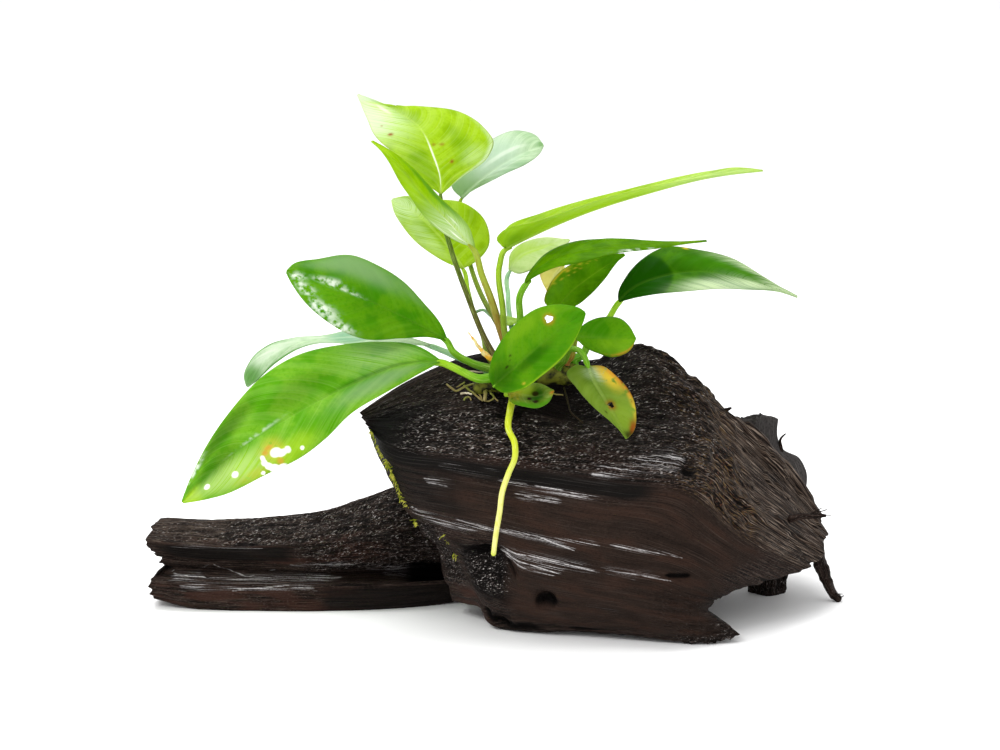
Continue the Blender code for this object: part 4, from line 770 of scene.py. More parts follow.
# seat: place along X and angle round the rhizome where the stalk sits. left and right are the margins
# between base and tip, seen on the upper side with the tip up
leaves = {
    "low_left": {
        "seat": (2, -58), "radii": (1.5, 1.2), "arch": 0.07, "wave": 0.5,
        "stalk": [(-4, -17, 85.3), (-9, -15.4, 87), (-13, -14.4, 88.8)],
        "midrib": [(-17, -14.6, 91), (-30.5, -20, 90.5), (-43.5, -26, 86.5), (-56.5, -33, 81.5),
                   (-69.5, -39, 75), (-82.5, -44, 67), (-92.5, -47, 59.5), (-101.5, -49, 50.5)],
        "left": [(-24, -21.5, 88), (-35, -29.5, 83), (-46.5, -37, 77.5), (-54.5, -44, 71),
                 (-62.5, -48.5, 65.5), (-73, -51, 60.5), (-88, -51.5, 53.5)],
        "right": [(-24.5, -12.5, 95.5), (-37.5, -13.5, 97.5), (-51, -16, 97), (-64, -21, 94.5),
                  (-76.5, -27.5, 88), (-86, -34.5, 79), (-92.5, -40.5, 70.5), (-98.5, -45.5, 59)],
    },
    "upper_left": {
        "seat": (4, -40), "radii": (1.4, 1.1), "arch": 0.07, "wave": 0.4,
        "stalk": [(0, -11.3, 87.6), (-7, -9, 89.3), (-13, -8, 93)],
        "midrib": [(-15, -8, 97), (-24, -9, 102), (-36, -11, 108.5), (-49, -14, 115),
                   (-60.5, -16, 119.5), (-68.5, -17, 122)],
        "left": [(-19.5, -9.5, 98), (-30.5, -16.5, 99), (-42, -24, 100.5), (-50, -26.5, 104),
                 (-59.5, -25.5, 110.5), (-66.5, -20, 118.5)],
        "right": [(-17, -6.5, 102), (-22.5, -5, 109), (-29, -4.5, 116), (-38.5, -5, 122),
                  (-47.5, -6.5, 126), (-58, -11, 125.5), (-66.5, -15, 124)],
    },
    "back_left": {
        "seat": (-1, 38), "radii": (1.2, 1), "arch": 0.05, "wave": 0.3,
        "stalk": [(-5.2, -4, 87.3), (-12, 2, 89), (-17, 8, 90)],
        "midrib": [(-21, 10, 91.5), (-30, 14, 93), (-46, 22, 92), (-60.5, 28, 89.5), (-71.5, 31, 87),
                   (-80.5, 33, 81.5), (-87, 34, 71.5)],
        "left": [(-31.5, 13, 91), (-46, 20, 89.5), (-60, 24, 89.5), (-67.5, 28, 86.5),
                 (-76.5, 31, 80.5), (-83.5, 33, 74)],
        "right": [(-31.5, 16, 94), (-46, 25, 94.5), (-60.5, 33, 90), (-69.5, 34, 89.5),
                  (-79.5, 35, 86.5), (-86, 36, 80.5), (-88, 35, 75)],
    },
    "top_folded": {
        "seat": (3.5, 0), "radii": (1.05, 0.75), "arch": 0.05, "wave": 0.4,
        "stalk": [(1.5, -8.2, 91), (-1, -6, 95), (-8, -1, 111), (-14, 2, 128), (-16.5, 2, 138)],
        "midrib": [(-17, 3, 145.5), (-17.5, 8, 151), (-20, 13, 157.5), (-24, 20, 165), (-31.5, 27, 170),
                   (-46.5, 36, 175.5)],
        "left": [(-23.7, 4, 150), (-32, 6.5, 158), (-38, 9, 163), (-43, 22.5, 169)],
        "right": [(-10.5, 7, 150), (-0.5, 13, 157.5), (1, 16.5, 161.5), (-2.5, 20, 166),
                  (-10.5, 24.5, 170.5), (-23, 28, 172.5), (-37, 30, 172.5)],
    },
    "top_side": {
        "seat": (8.5, 0), "radii": (1.55, 1.0), "arch": 0.05, "wave": 0.3,
        "stalk": [(6, -6.5, 93), (3.7, -5.5, 99), (0, -6, 111), (-3, -6, 119)],
        "midrib": [(-5.5, -6, 128.5), (-12, -9, 136.5), (-21, -14, 146.5), (-29.5, -19, 158),
                   (-34.5, -22, 163.5), (-39, -25, 167)],
        "left": [(-7, -13, 136), (-16.5, -18.5, 147.5), (-26, -22, 158), (-32.5, -23.5, 163.5)],
        "right": [(-10.5, -3, 129.5), (-20.5, -2.5, 136.5), (-29, -9.5, 148.5), (-34, -17.5, 159.5)],
    },
    "top_back": {
        "seat": (5, 60), "radii": (1, 0.8), "arch": 0.05, "wave": 0.2,
        "stalk": [(6, 0.5, 94), (2.5, 1.5, 100), (-4, 13, 110), (-8, 25, 120), (-10, 34, 132)],
        "midrib": [(-10.5, 37, 139), (-4, 40, 144.5), (5, 43, 150.5), (18.5, 47, 156.5)],
        "left": [(-14, 40.5, 142.5), (-9.5, 46, 150.5), (-1, 49.5, 157.5), (9, 51.5, 161),
                 (16, 49.5, 159.5)],
        "right": [(-4.5, 38, 142.5), (5, 39.5, 147), (12.5, 41, 150.5), (17.5, 44.5, 154)],
    },
    "round_back": {
        "seat": (2, 55), "radii": (0.95, 0.75), "arch": 0.05, "wave": 0.2,
        "stalk": [(-1.5, -2.6, 91.5), (-2.5, 0, 96), (-6, 6, 104), (-8, 10, 111)],
        "midrib": [(-9.5, 15, 117.5), (-14, 18, 123.5), (-20.5, 21, 130.5), (-28, 24, 136.5),
                   (-34.5, 26, 140)],
        "left": [(-14, 14.5, 119), (-23, 14.5, 124.5), (-30, 17.5, 131), (-34, 22.5, 137)],
        "right": [(-6, 17, 119), (-0.5, 23, 125), (-2.5, 28, 133), (-9, 29.5, 138), (-21.5, 28.5, 140),
                  (-30, 27.5, 141)],
    },
    "long_right": {
        "seat": (11, -25), "radii": (1.15, 1), "arch": 0.05, "wave": 0.2,
        "stalk": [(8, -12.6, 91.5), (5.4, -11, 97), (4, -7.4, 108), (3, -4, 122)],
        "midrib": [(4.5, -4, 128), (13.5, -1, 132), (30.5, 7, 138), (55, 18, 144), (76.5, 26, 148),
                   (95, 31, 149.5)],
        "left": [(3, 3, 129.5), (6, 8, 133.5), (17, 10, 137.5), (34, 16, 142), (55.5, 24, 146),
                 (76.5, 30, 149.5), (85.5, 32, 150.5)],
        "right": [(2, -9, 132), (4, -12, 135), (15, -10, 138), (33.5, -2, 143), (54.5, 11, 146.5),
                  (76, 22, 149)],
    },
    "pale_back": {
        "seat": (11, 45), "radii": (1, 0.8), "arch": 0.05, "wave": 0.2,
        "stalk": [(9, 1, 93), (7.5, 6, 97), (6.5, 14, 101), (6, 25, 106)],
        "midrib": [(6.5, 35, 113.5), (10, 37, 118), (17.5, 41, 120.5), (28, 46, 122.5)],
        "left": [(6.5, 38.5, 118), (11, 43, 122), (19, 45.5, 123.5), (24.5, 46.5, 123)],
        "right": [(9.5, 33, 112.5), (15, 32, 114.5), (21, 37, 117), (25.5, 42, 120)],
    },
    "arch_right": {
        "seat": (15.5, 0), "radii": (1.3, 1.1), "arch": 0.07, "wave": 0.3,
        "stalk": [(12, -7, 92), (10, -8, 97), (10, -9, 105), (10, -11, 113)],
        "midrib": [(11.5, -12, 117.5), (16.5, -12.5, 123), (25, -13, 127), (36.5, -14, 129.5),
                   (53.5, -15, 130.5), (72.5, -14, 132)],
        "left": [(12.5, -9.5, 119.5), (17.5, -7, 125.5), (27, -5.5, 130), (38.5, -7.5, 132),
                 (55.5, -12, 131.5)],
        "right": [(14.5, -14, 119.5), (21.5, -17.5, 123.5), (31.5, -20, 126), (44, -18.5, 128.5),
                  (60, -16.5, 130.5)],
    },
    "mid_right": {
        "seat": (22, 15), "radii": (1.2, 1), "arch": 0.05, "wave": 0.2,
        "stalk": [(24, -2.5, 91), (25, 0, 96), (23.5, 2, 101)],
        "midrib": [(22.5, 2, 105.5), (26.5, 3, 110.5), (33, 5, 115.5), (40, 7, 120), (46, 9, 123.5)],
        "left": [(18.5, 4, 107.5), (20, 6, 113), (24, 7.5, 118), (30.5, 9, 121.5), (38.5, 9, 123.5)],
        "right": [(28, 1, 106.5), (34, 2, 110.5), (39, 4.5, 115.5), (42.5, 6.5, 120)],
    },
    "far_right": {
        "seat": (29, 10), "radii": (1.2, 1), "arch": 0.07, "wave": 0.4,
        "stalk": [(30.5, -3, 90), (34, -3.5, 96), (40, -5, 103.5)],
        "midrib": [(43.5, -6, 110), (48.5, -8, 115), (58, -9, 119), (71, -8, 120.5), (86.5, -4, 117),
                   (105, 2, 110)],
        "left": [(43.5, -4.5, 112.5), (46, -3.5, 118), (51.5, -1.5, 123.5), (59.5, -0, 127.5),
                 (70.5, 0, 127), (81, 1.5, 124), (92.5, 1.5, 117.5)],
        "right": [(48, -9.5, 111.5), (57, -13.5, 114), (70.5, -14, 115), (84.5, -8.5, 114.5),
                  (97, -1.5, 112.5)],
    },
    "front_centre": {
        "seat": (8, -60), "radii": (1.1, 0.5), "arch": 0.07, "wave": 0.3,
        "stalk": [(6, -16, 86.8), (4, -22, 86.4), (2.6, -27, 86.3)],
        "midrib": [(1, -30, 85.5), (7, -32.5, 91.5), (14.5, -36, 99), (23, -40, 107), (31, -43, 113)],
        "left": [(-0.5, -28.5, 88), (0, -28.5, 93), (3, -29.5, 100), (9, -32, 108), (16.5, -36, 113.5),
                 (24.5, -39.5, 115), (29.5, -42, 114)],
        "right": [(4, -32.5, 84), (10, -36, 85.5), (16.5, -39, 90.5), (23.5, -42.5, 97.5),
                  (28.5, -44, 105.5), (30.5, -43.5, 110.5)],
    },
    "small_oval": {
        "seat": (26, -20), "radii": (1.1, 0.9), "arch": 0.05, "wave": 0.2,
        "stalk": [(27, -7, 90.5), (28, -9, 94), (28.5, -11.5, 97)],
        "midrib": [(28.5, -14, 99), (34, -17, 99.5), (41, -21, 100), (48.5, -25, 100.5)],
        "left": [(30, -11.5, 101.5), (35.5, -11.5, 105), (42.5, -14, 106), (47, -20, 103.5)],
        "right": [(31, -18, 97), (35.5, -23.5, 95.5), (41, -28, 95), (46.5, -28.5, 97.5)],
    },
    "yellow_hanging": {
        "seat": (23, -45), "radii": (1.2, 1), "arch": 0.06, "wave": 0.2,
        "stalk": [(25, -12, 91), (26.5, -16, 95), (30, -23, 96)],
        "midrib": [(32.5, -31, 92.5), (34, -35, 89), (37.5, -39, 83.5), (41.5, -43, 77.5),
                   (45, -46, 71.5)],
        "left": [(28, -29.5, 92.5), (25.5, -29.5, 90.5), (28.5, -34.5, 86), (34, -39, 80.5),
                 (40, -43, 76)],
        "right": [(36.5, -32, 93), (42, -36, 90), (46.5, -40, 85), (48, -43.5, 80), (47, -45.5, 73.5)],
    },
    "spotted_low": {
        "seat": (13, -100), "radii": (1.1, 0.9), "arch": 0.05, "wave": 0.2,
        "stalk": [(11.5, -16.5, 80.5), (8.5, -20, 81), (5.2, -23.3, 81.3)],
        "midrib": [(6, -26, 82.5), (10, -29, 82.5), (15, -32, 82.5), (21, -35, 85)],
        "left": [(8, -23.5, 85), (13, -25.5, 86), (18, -30.5, 86)],
        "right": [(6.5, -30.5, 80.5), (10.5, -34, 79.5), (15.5, -36.5, 79.5), (19.5, -37.5, 82)],
    },
    "withered": {
        "seat": (18, 45), "radii": (0.65, 0.4), "arch": 0.08, "wave": 0.2,
        "stalk": [(18.5, 4, 92), (21, 8, 97), (26, 13, 107), (29.5, 17, 115), (28.5, 16.8, 122)],
        "midrib": [(25.5, 17, 119.5), (23.5, 17.5, 116.5), (21, 18, 112.5), (20, 18.5, 108.5)],
        "left": [(22, 18, 119), (17, 19.5, 115.5), (18, 19, 111.5)],
        "right": [(25.5, 16, 117), (24.5, 16, 115), (22, 17.5, 111)],
    },
    "sprout": {
        "seat": (3, 85), "radii": (0.6, 0.5), "arch": 0.05, "wave": 0.1,
        "stalk": [(-1, 0, 91.5), (-4, 6, 98), (-5.5, 9, 103), (-3, 9.5, 104)],
        "midrib": [(1, 9, 101.5), (4, 8.5, 101), (7.5, 8, 100.5), (10.5, 7.5, 101)],
        "left": [(3, 9.5, 102), (7.5, 9, 101.5)],
        "right": [(4, 7, 99), (6.5, 6.5, 99), (9, 7, 100)],
    },
}

leafForm = {
    "rowLength": 0.75,        # mm between the rows of a blade's grid
    "rowRange": (30, 200),    # fewest and most of them
    "columnLength": 0.7,      # mm between its columns
    "columnRange": (8, 46),   # fewest and most of them on each side of the midrib
    "gather": 1.15,           # more than 1 draws the columns towards the midrib
    "halfThickness": 0.24,    # mm
    "ribShare": 0.8,          # radius of the rib under the base, as a share of the stalk's
    "grooveDepth": 0.25,      # mm, along the midrib of the upper side
    "grooveWidth": 0.7,       # mm
    "quilt": 0.1,             # mm, how far the blade swells between side veins
    "narrowest": 0.55,        # mm, keeps the base and the tip from closing up
    "veinClimb": 0.32,        # share of the length that a side vein climbs on its way to the margin
    "veinClimbLess": 0.12,    # how much less of it at the tip
    "veinBend": 1.35,         # 1 for straight side veins, more for ones that bend towards the tip
}
stalkForm = {
    "rowLength": 0.9,         # mm between its rings
    "sides": 24,
    "flare": 0.45,            # share of the radius that the sheath at the foot adds
    "flareLength": 9,         # mm
    "channel": 0.16,          # depth of the channel along it, as a share of the radius
    "ripple": 0.03,           # mm
}

# Each leaf's finish, the look of its stalk, its side veins, how much finer than usual its grid is, its holes
# (t, v, reach along t, reach across v) and its soft marks: kind, t, v, reach along t, reach across v,
# strength, and where wanted how steep the edge is. t runs from base to tip, v from the left margin at -1 to
# the right one at 1
leafLooks = {
    "low_left": {"finish": "bright", "stalk": "lime", "veins": 9, "fine": 1.8, "marks": [
        ("deep", 0.76, 0.72, 0.16, 0.3, 0.6), ("deep", 0.5, 0.35, 0.16, 0.3, 0.4),
        ("lime", 0.8, -0.55, 0.2, 0.5, 0.6), ("pale", 0.82, -0.5, 0.16, 0.4, 0.35),
        ("lime", 0.62, -0.75, 0.12, 0.35, 0.6), ("lime", 0.97, -0.5, 0.06, 0.8, 0.8),
        ("pale", 0.2, 0.55, 0.12, 0.45, 0.35), ("mist", 0.24, -0.45, 0.2, 0.4, 0.7),
        ("deep", 0.2, 0.04, 0.22, 0.07, 0.5), ("deep", 0.85, 0.1, 0.12, 0.5, 0.5),
        ("deep", 0.95, 0.0, 0.03, 0.8, 0.4), ("glare", 0.68, 0.07, 0.09, 0.035, 0.6),
        ("glare", 0.9, 0.84, 0.05, 0.14, 0.9), ("white", 0.9, -0.42, 0.012, 0.14, 1.0, 4),
        ("white", 0.8, -0.57, 0.012, 0.11, 1.0, 4), ("white", 0.72, -0.93, 0.007, 0.06, 0.9, 4),
        ("white", 0.575, -0.84, 0.007, 0.06, 0.9, 4), ("amber", 0.668, -0.42, 0.016, 0.07, 0.8),
        ("amber", 0.685, -0.5, 0.012, 0.08, 0.8), ("yellow", 0.66, -0.5, 0.04, 0.3, 0.5),
        ("yellow", 0.74, -0.86, 0.07, 0.14, 0.3), ("amber", 0.655, -0.86, 0.012, 0.1, 0.8),
        ("white", 0.655, -0.62, 0.02, 0.13, 1.0, 3), ("white", 0.64, -0.7, 0.018, 0.1, 0.9, 3),
        ("white", 0.618, -0.7, 0.012, 0.1, 0.8, 3), ("white", 0.7, -0.6, 0.008, 0.1, 1.0, 3),
        ("white", 0.702, -0.72, 0.01, 0.1, 1.0, 3), ("white", 0.695, -0.84, 0.012, 0.1, 1.0, 3),
        ("white", 0.683, -0.94, 0.016, 0.1, 1.0, 3), ("white", 0.66, -1.0, 0.02, 0.08, 1.0, 3)]},
    "upper_left": {"finish": "grown", "stalk": "green", "veins": 8, "fine": 1.5, "marks": [
        ("mist", 0.62, 0.7, 0.3, 0.36, 0.8), ("mist", 0.36, 0.85, 0.2, 0.25, 0.5),
        ("lime", 0.3, -0.6, 0.25, 0.4, 0.15), ("glare", 0.93, -0.25, 0.05, 0.45, 1.0),
        ("glare", 0.86, -0.62, 0.08, 0.24, 1.0), ("glare", 0.72, -0.82, 0.1, 0.18, 1.0),
        ("glare", 0.6, -0.93, 0.08, 0.1, 1.0), ("glare", 0.75, 0.07, 0.1, 0.14, 1.0),
        ("glare", 0.64, 0.0, 0.1, 0.06, 0.8), ("deep", 0.5, -0.25, 0.2, 0.3, 0.25)]},
    "back_left": {"finish": "pale", "stalk": "bluish", "veins": 8, "marks": [
        ("white", 0.78, 0.2, 0.16, 0.6, 0.45), ("white", 0.6, 0.4, 0.16, 0.45, 0.4),
        ("bluish", 0.42, 0.0, 0.12, 1.0, 0.8), ("moss", 0.95, 0.0, 0.07, 1.4, 0.8),
        ("moss", 0.8, -0.98, 0.3, 0.16, 0.9), ("moss", 0.75, 0.98, 0.3, 0.14, 0.9)]},
    "top_folded": {"finish": "lime", "stalk": "dark", "veins": 8, "fine": 1.4, "marks": [
        ("mint", 0.97, 0.0, 0.1, 1.5, 1.0), ("mint", 0.72, -0.85, 0.22, 0.4, 0.8),
        ("pale", 0.72, -0.7, 0.28, 0.7, 1.0), ("pale", 1.0, 0.0, 0.12, 1.5, 1.0),
        ("pale", 0.2, 0.98, 0.22, 0.07, 1.0), ("pale", 0.26, 0.72, 0.06, 0.2, 0.4),
        ("white", 0.2, 0.0, 0.26, 0.03, 0.8), ("moss", 0.3, 0.5, 0.2, 0.2, 0.35),
        ("moss", 0.2, -0.5, 0.2, 0.5, 0.4), ("white", 0.75, -0.3, 0.1, 0.12, 0.5),
        ("rust", 0.49, -0.71, 0.012, 0.06, 0.9), ("rust", 0.22, 0.34, 0.012, 0.04, 0.9),
        ("rust", 0.34, 0.19, 0.01, 0.04, 0.6), ("rust", 0.35, 0.07, 0.01, 0.03, 0.6),
        ("rust", 0.585, -0.75, 0.01, 0.03, 0.6)]},
    "top_side": {"finish": "fresh", "stalk": "amber", "veins": 7, "marks": [
        ("pale", 0.14, 0.3, 0.22, 1.2, 0.9), ("lime", 0.95, 0.0, 0.12, 1.0, 0.9),
        ("lime", 0.6, 0.6, 0.3, 0.4, 0.5), ("moss", 0.5, -0.75, 0.3, 0.3, 0.7),
        ("white", 0.16, 0.2, 0.14, 0.05, 1.0), ("white", 0.12, 0.6, 0.1, 0.06, 0.9),
        ("white", 0.24, -0.2, 0.08, 0.05, 0.7), ("white", 0.2, 0.9, 0.16, 0.04, 0.6)]},
    "top_back": {"finish": "pale", "stalk": "shaded", "veins": 6, "marks": [
        ("mint", 0.5, -0.2, 0.3, 0.9, 0.8), ("mist", 0.14, 0.0, 0.24, 1.4, 1.0),
        ("moss", 0.08, -0.6, 0.16, 0.6, 0.35), ("bluish", 0.5, 0.8, 0.35, 0.3, 0.4),
        ("white", 0.6, -0.3, 0.34, 0.12, 0.5), ("white", 0.6, 0.4, 0.3, 0.1, 0.4),
        ("moss", 0.98, 0.0, 0.05, 1.0, 0.5)]},
    "round_back": {"finish": "lime", "stalk": "olive", "veins": 6, "marks": [
        ("pale", 0.9, -0.2, 0.25, 1.0, 0.9), ("pale", 0.6, 0.3, 0.12, 0.3, 0.6),
        ("pale", 0.5, -0.6, 0.3, 0.4, 0.5)]},
    "long_right": {"finish": "lime", "stalk": "olive", "veins": 9, "marks": [
        ("pale", 0.85, 0.3, 0.25, 1.2, 0.5), ("moss", 0.05, 0.2, 0.07, 0.5, 0.4),
        ("moss", 0.2, -0.6, 0.35, 0.6, 0.3), ("lime", 0.55, 0.65, 0.45, 0.6, 0.5)]},
    "pale_back": {"finish": "cream", "stalk": "bluish", "veins": 5, "marks": [
        ("lime", 0.4, 0.0, 0.4, 0.2, 0.8), ("lime", 0.3, -0.4, 0.3, 0.7, 0.6)]},
    "arch_right": {"finish": "olive", "stalk": "green", "veins": 8, "marks": [
        ("glare", 0.62, 0.86, 0.09, 0.2, 1.0), ("lime", 0.9, 0.0, 0.1, 1.0, 0.3),
        ("moss", 0.1, 0.5, 0.12, 0.5, 0.4)]},
    "mid_right": {"finish": "sunlit", "stalk": "green", "veins": 6, "fine": 1.4, "marks": [
        ("yellow", 0.46, -0.8, 0.022, 0.07, 1.0), ("yellow", 0.52, -0.7, 0.015, 0.05, 0.8),
        ("yellow", 0.58, -0.75, 0.02, 0.05, 0.8), ("yellow", 0.5, -0.88, 0.015, 0.04, 0.8),
        ("yellow", 0.4, -0.93, 0.12, 0.05, 0.8), ("yellow", 0.63, -0.62, 0.012, 0.04, 0.6),
        ("yellow", 0.66, -0.68, 0.012, 0.04, 0.6), ("orange", 0.25, -0.97, 0.2, 0.04, 0.6),
        ("yellow", 0.42, -0.62, 0.013, 0.045, 0.9), ("yellow", 0.36, -0.7, 0.013, 0.045, 0.9),
        ("yellow", 0.3, -0.82, 0.013, 0.045, 0.8), ("yellow", 0.55, -0.58, 0.012, 0.04, 0.9),
        ("yellow", 0.48, -0.58, 0.012, 0.045, 0.8), ("yellow", 0.6, -0.85, 0.017, 0.045, 0.9),
        ("yellow", 0.68, -0.83, 0.014, 0.045, 0.8), ("yellow", 0.72, -0.6, 0.012, 0.04, 0.6),
        ("lime", 0.5, 0.0, 0.5, 0.04, 0.4), ("moss", 0.85, 0.0, 0.2, 1.0, 0.4)]},
    "far_right": {"finish": "dark", "stalk": "lime", "veins": 8, "fine": 1.6, "marks": [
        ("pale", 0.52, 0.85, 0.2, 0.42, 1.0), ("pale", 0.74, 0.45, 0.2, 0.5, 1.0),
        ("mint", 0.6, 0.8, 0.25, 0.4, 0.5), ("pale", 0.95, 0.0, 0.16, 1.4, 1.0),
        ("pale", 0.75, -0.8, 0.2, 0.3, 0.8), ("moss", 0.55, -0.3, 0.25, 0.5, 0.6),
        ("deep", 0.05, 0.0, 0.27, 1.6, 1.0, 16), ("yellow", 0.43, -0.93, 0.015, 0.05, 0.9),
        ("glare", 0.12, -0.98, 0.12, 0.04, 0.6)]},
    "front_centre": {"finish": "grown", "stalk": "green", "veins": 7, "fine": 1.7,
        "holes": [(0.712, -0.5, 0.036, 0.13)], "marks": [
        ("orange", 0.712, -0.5, 0.045, 0.22, 0.6, 2), ("lime", 0.6, -0.75, 0.4, 0.3, 0.3),
        ("moss", 0.8, 0.4, 0.2, 0.5, 0.6), ("deep", 0.1, 0.0, 0.18, 1.0, 0.7),
        ("deep", 0.42, 0.22, 0.26, 0.28, 0.6), ("deep", 0.3, 0.1, 0.2, 0.1, 0.4),
        ("brown", 0.3, -0.4, 0.012, 0.035, 0.9), ("brown", 0.21, -0.22, 0.02, 0.04, 0.9),
        ("brown", 0.27, -0.3, 0.01, 0.02, 0.6), ("yellow", 0.28, 0.81, 0.014, 0.05, 0.8),
        ("lime", 0.5, 0.97, 0.5, 0.05, 0.6)]},
    "small_oval": {"finish": "grown", "stalk": "amber", "veins": 6, "marks": [
        ("orange", 0.8, 0.93, 0.25, 0.08, 0.7), ("lime", 0.7, 0.4, 0.35, 0.6, 0.35)]},
    "yellow_hanging": {"finish": "ageing", "stalk": "green", "veins": 6, "fine": 1.5,
        "holes": [(0.57, 0.1, 0.045, 0.12)], "marks": [
        ("yellow", 0.26, 0.75, 0.2, 0.35, 1.0), ("orange", 0.34, 0.98, 0.3, 0.16, 0.7),
        ("yellow", 0.62, 0.95, 0.25, 0.12, 0.7), ("pale", 0.16, 0.5, 0.12, 0.4, 0.8),
        ("pale", 0.1, 0.0, 0.1, 0.5, 0.5), ("brown", 0.66, -0.45, 0.02, 0.08, 0.7),
        ("rust", 0.57, 0.1, 0.065, 0.17, 0.8), ("rust", 0.88, 0.85, 0.09, 0.3, 0.9),
        ("brown", 0.96, 0.5, 0.06, 0.6, 0.8), ("lime", 0.75, 0.3, 0.25, 0.8, 0.3),
        ("lime", 0.4, -0.6, 0.3, 0.4, 0.2), ("rust", 0.45, 1.0, 0.16, 0.05, 0.7),
        ("brown", 0.5, 0.95, 0.02, 0.05, 0.6), ("brown", 0.62, 0.9, 0.012, 0.04, 0.6),
        ("brown", 0.4, 0.97, 0.012, 0.03, 0.5)]},
    "spotted_low": {"finish": "ageing", "stalk": "olive", "veins": 5, "fine": 1.6,
        "holes": [(0.6, -0.16, 0.05, 0.11)], "marks": [
        ("yellow", 0.12, 0.0, 0.18, 1.0, 0.5), ("lime", 0.3, -0.4, 0.3, 0.6, 0.7),
        ("deep", 0.62, 0.0, 0.2, 0.7, 1.0), ("moss", 0.55, 0.9, 0.4, 0.3, 0.9),
        ("brown", 0.5, 0.3, 0.045, 0.12, 1.0, 5), ("brown", 0.62, 0.5, 0.05, 0.14, 1.0, 5),
        ("brown", 0.6, -0.16, 0.08, 0.18, 0.9, 5), ("orange", 0.97, 0.4, 0.06, 0.6, 1.0),
        ("rust", 0.985, 0.5, 0.03, 0.4, 0.7), ("yellow", 0.3, 0.5, 0.02, 0.06, 0.8)]},
    "withered": {"finish": "dry", "stalk": "straw", "veins": 4, "marks": [
        ("orange", 0.4, -0.95, 0.4, 0.12, 0.3), ("white", 0.4, 0.2, 0.3, 0.5, 0.4)]},
    "sprout": {"finish": "fresh", "stalk": "bluish", "veins": 4, "marks": [
        ("pale", 0.5, 0.0, 0.5, 1.0, 0.4)]},
}

# Colours of a leaf and of its deeper clouds, veins and underside, then the strength of the fine veins and
# of the midrib line
finishParts = ("green", "deep", "vein", "under", "fine", "rib")
leafFinishes = {finish: dict(zip(finishParts, values)) for finish, values in {
    "lime": ("b2d222", "9cc00a", "d8ea7c", "b4da2c", 0.22, 0.4),
    "fresh": ("a6ce04", "86b400", "cfe450", "9cc400", 0.25, 0.3),
    "bright": ("86c02c", "64ae12", "a8d660", "8cc444", 0.3, 0.2),
    "grown": ("6aa810", "4e9806", "86b93e", "74ad30", 0.1, 0.15),
    "olive": ("689f00", "538a00", "84b028", "6ca00c", 0.1, 0.1),
    "sunlit": ("6ca608", "569000", "84b028", "5c9410", 0.12, 0.2),
    "dark": ("4e8a02", "367000", "74a830", "5c9420", 0.12, 0.2),
    "pale": ("c6d8bc", "aecaa2", "e2efd6", "cde2be", 0.5, 0.4),
    "cream": ("d2e3a8", "c2da8a", "e2edc4", "cfe0a0", 0.4, 0.4),
    "ageing": ("7d9a30", "5b800c", "a5bc62", "7c9c34", 0.35, 0.3),
    "dry": ("f2ec9c", "dcdc70", "f6f2c4", "f2eaa0", 0.3, 0.3),
}.items()}
# Colours of the marks on the leaves; the glare is a painted reflection, and the pale and grey-green marks are
# painted sheen
leafMarks = {"lime": "c2e034", "deep": "1f5e02", "moss": "4f9a12", "pale": "dcebc4", "bluish": "98c4a6",
             "yellow": "e6cd42", "orange": "d99436", "white": "fdfef8", "glare": "f2f7ee", "brown": "2b1a08",
             "rust": "a2501c", "mist": "98ba84", "mint": "cadccb", "amber": "e0a84a"}
leafMasks = list(leafMarks) + ["under", "across", "out", "along"]


def bladePoints(leaf, t, v):
    # each point lies on the straight line from the midrib to the margin at the same share of their lengths;
    # both halves bow up between the two, and the margin moves in a slow wave
    base, tip = leaf["midrib"][:1], leaf["midrib"][-1:]
    left, right = (base + leaf[margin] + tip for margin in ("left", "right"))
    midrib = smoothPath(leaf["midrib"], t)
    ahead = unit(smoothPath(leaf["midrib"], t + 0.01) - smoothPath(leaf["midrib"], t - 0.01))
    inner = np.clip(t, 0.1, 0.9)
    side = smoothPath(right, inner) - smoothPath(left, inner)
    side = unit(side - ahead * np.sum(side * ahead, axis=-1, keepdims=True))
    normal = np.cross(side, ahead)
    reach = np.where(v[..., None] < 0, smoothPath(left, t), smoothPath(right, t)) - midrib
    t, v = t[..., None], v[..., None]
    width = np.linalg.norm(reach, axis=-1, keepdims=True)
    narrow = np.clip(1 - np.minimum(t, 1 - t) / 0.1, 0, 1)
    lift = 4 * leaf["arch"] * width * np.abs(v) * (1 - np.abs(v))
    lift = lift + leaf["wave"] * np.sin(math.pi * t) * np.sin(4 * math.pi * t + 1.5 * v) * v**2
    return midrib + reach * np.abs(v) + side * v * leafForm["narrowest"] * narrow + normal * lift


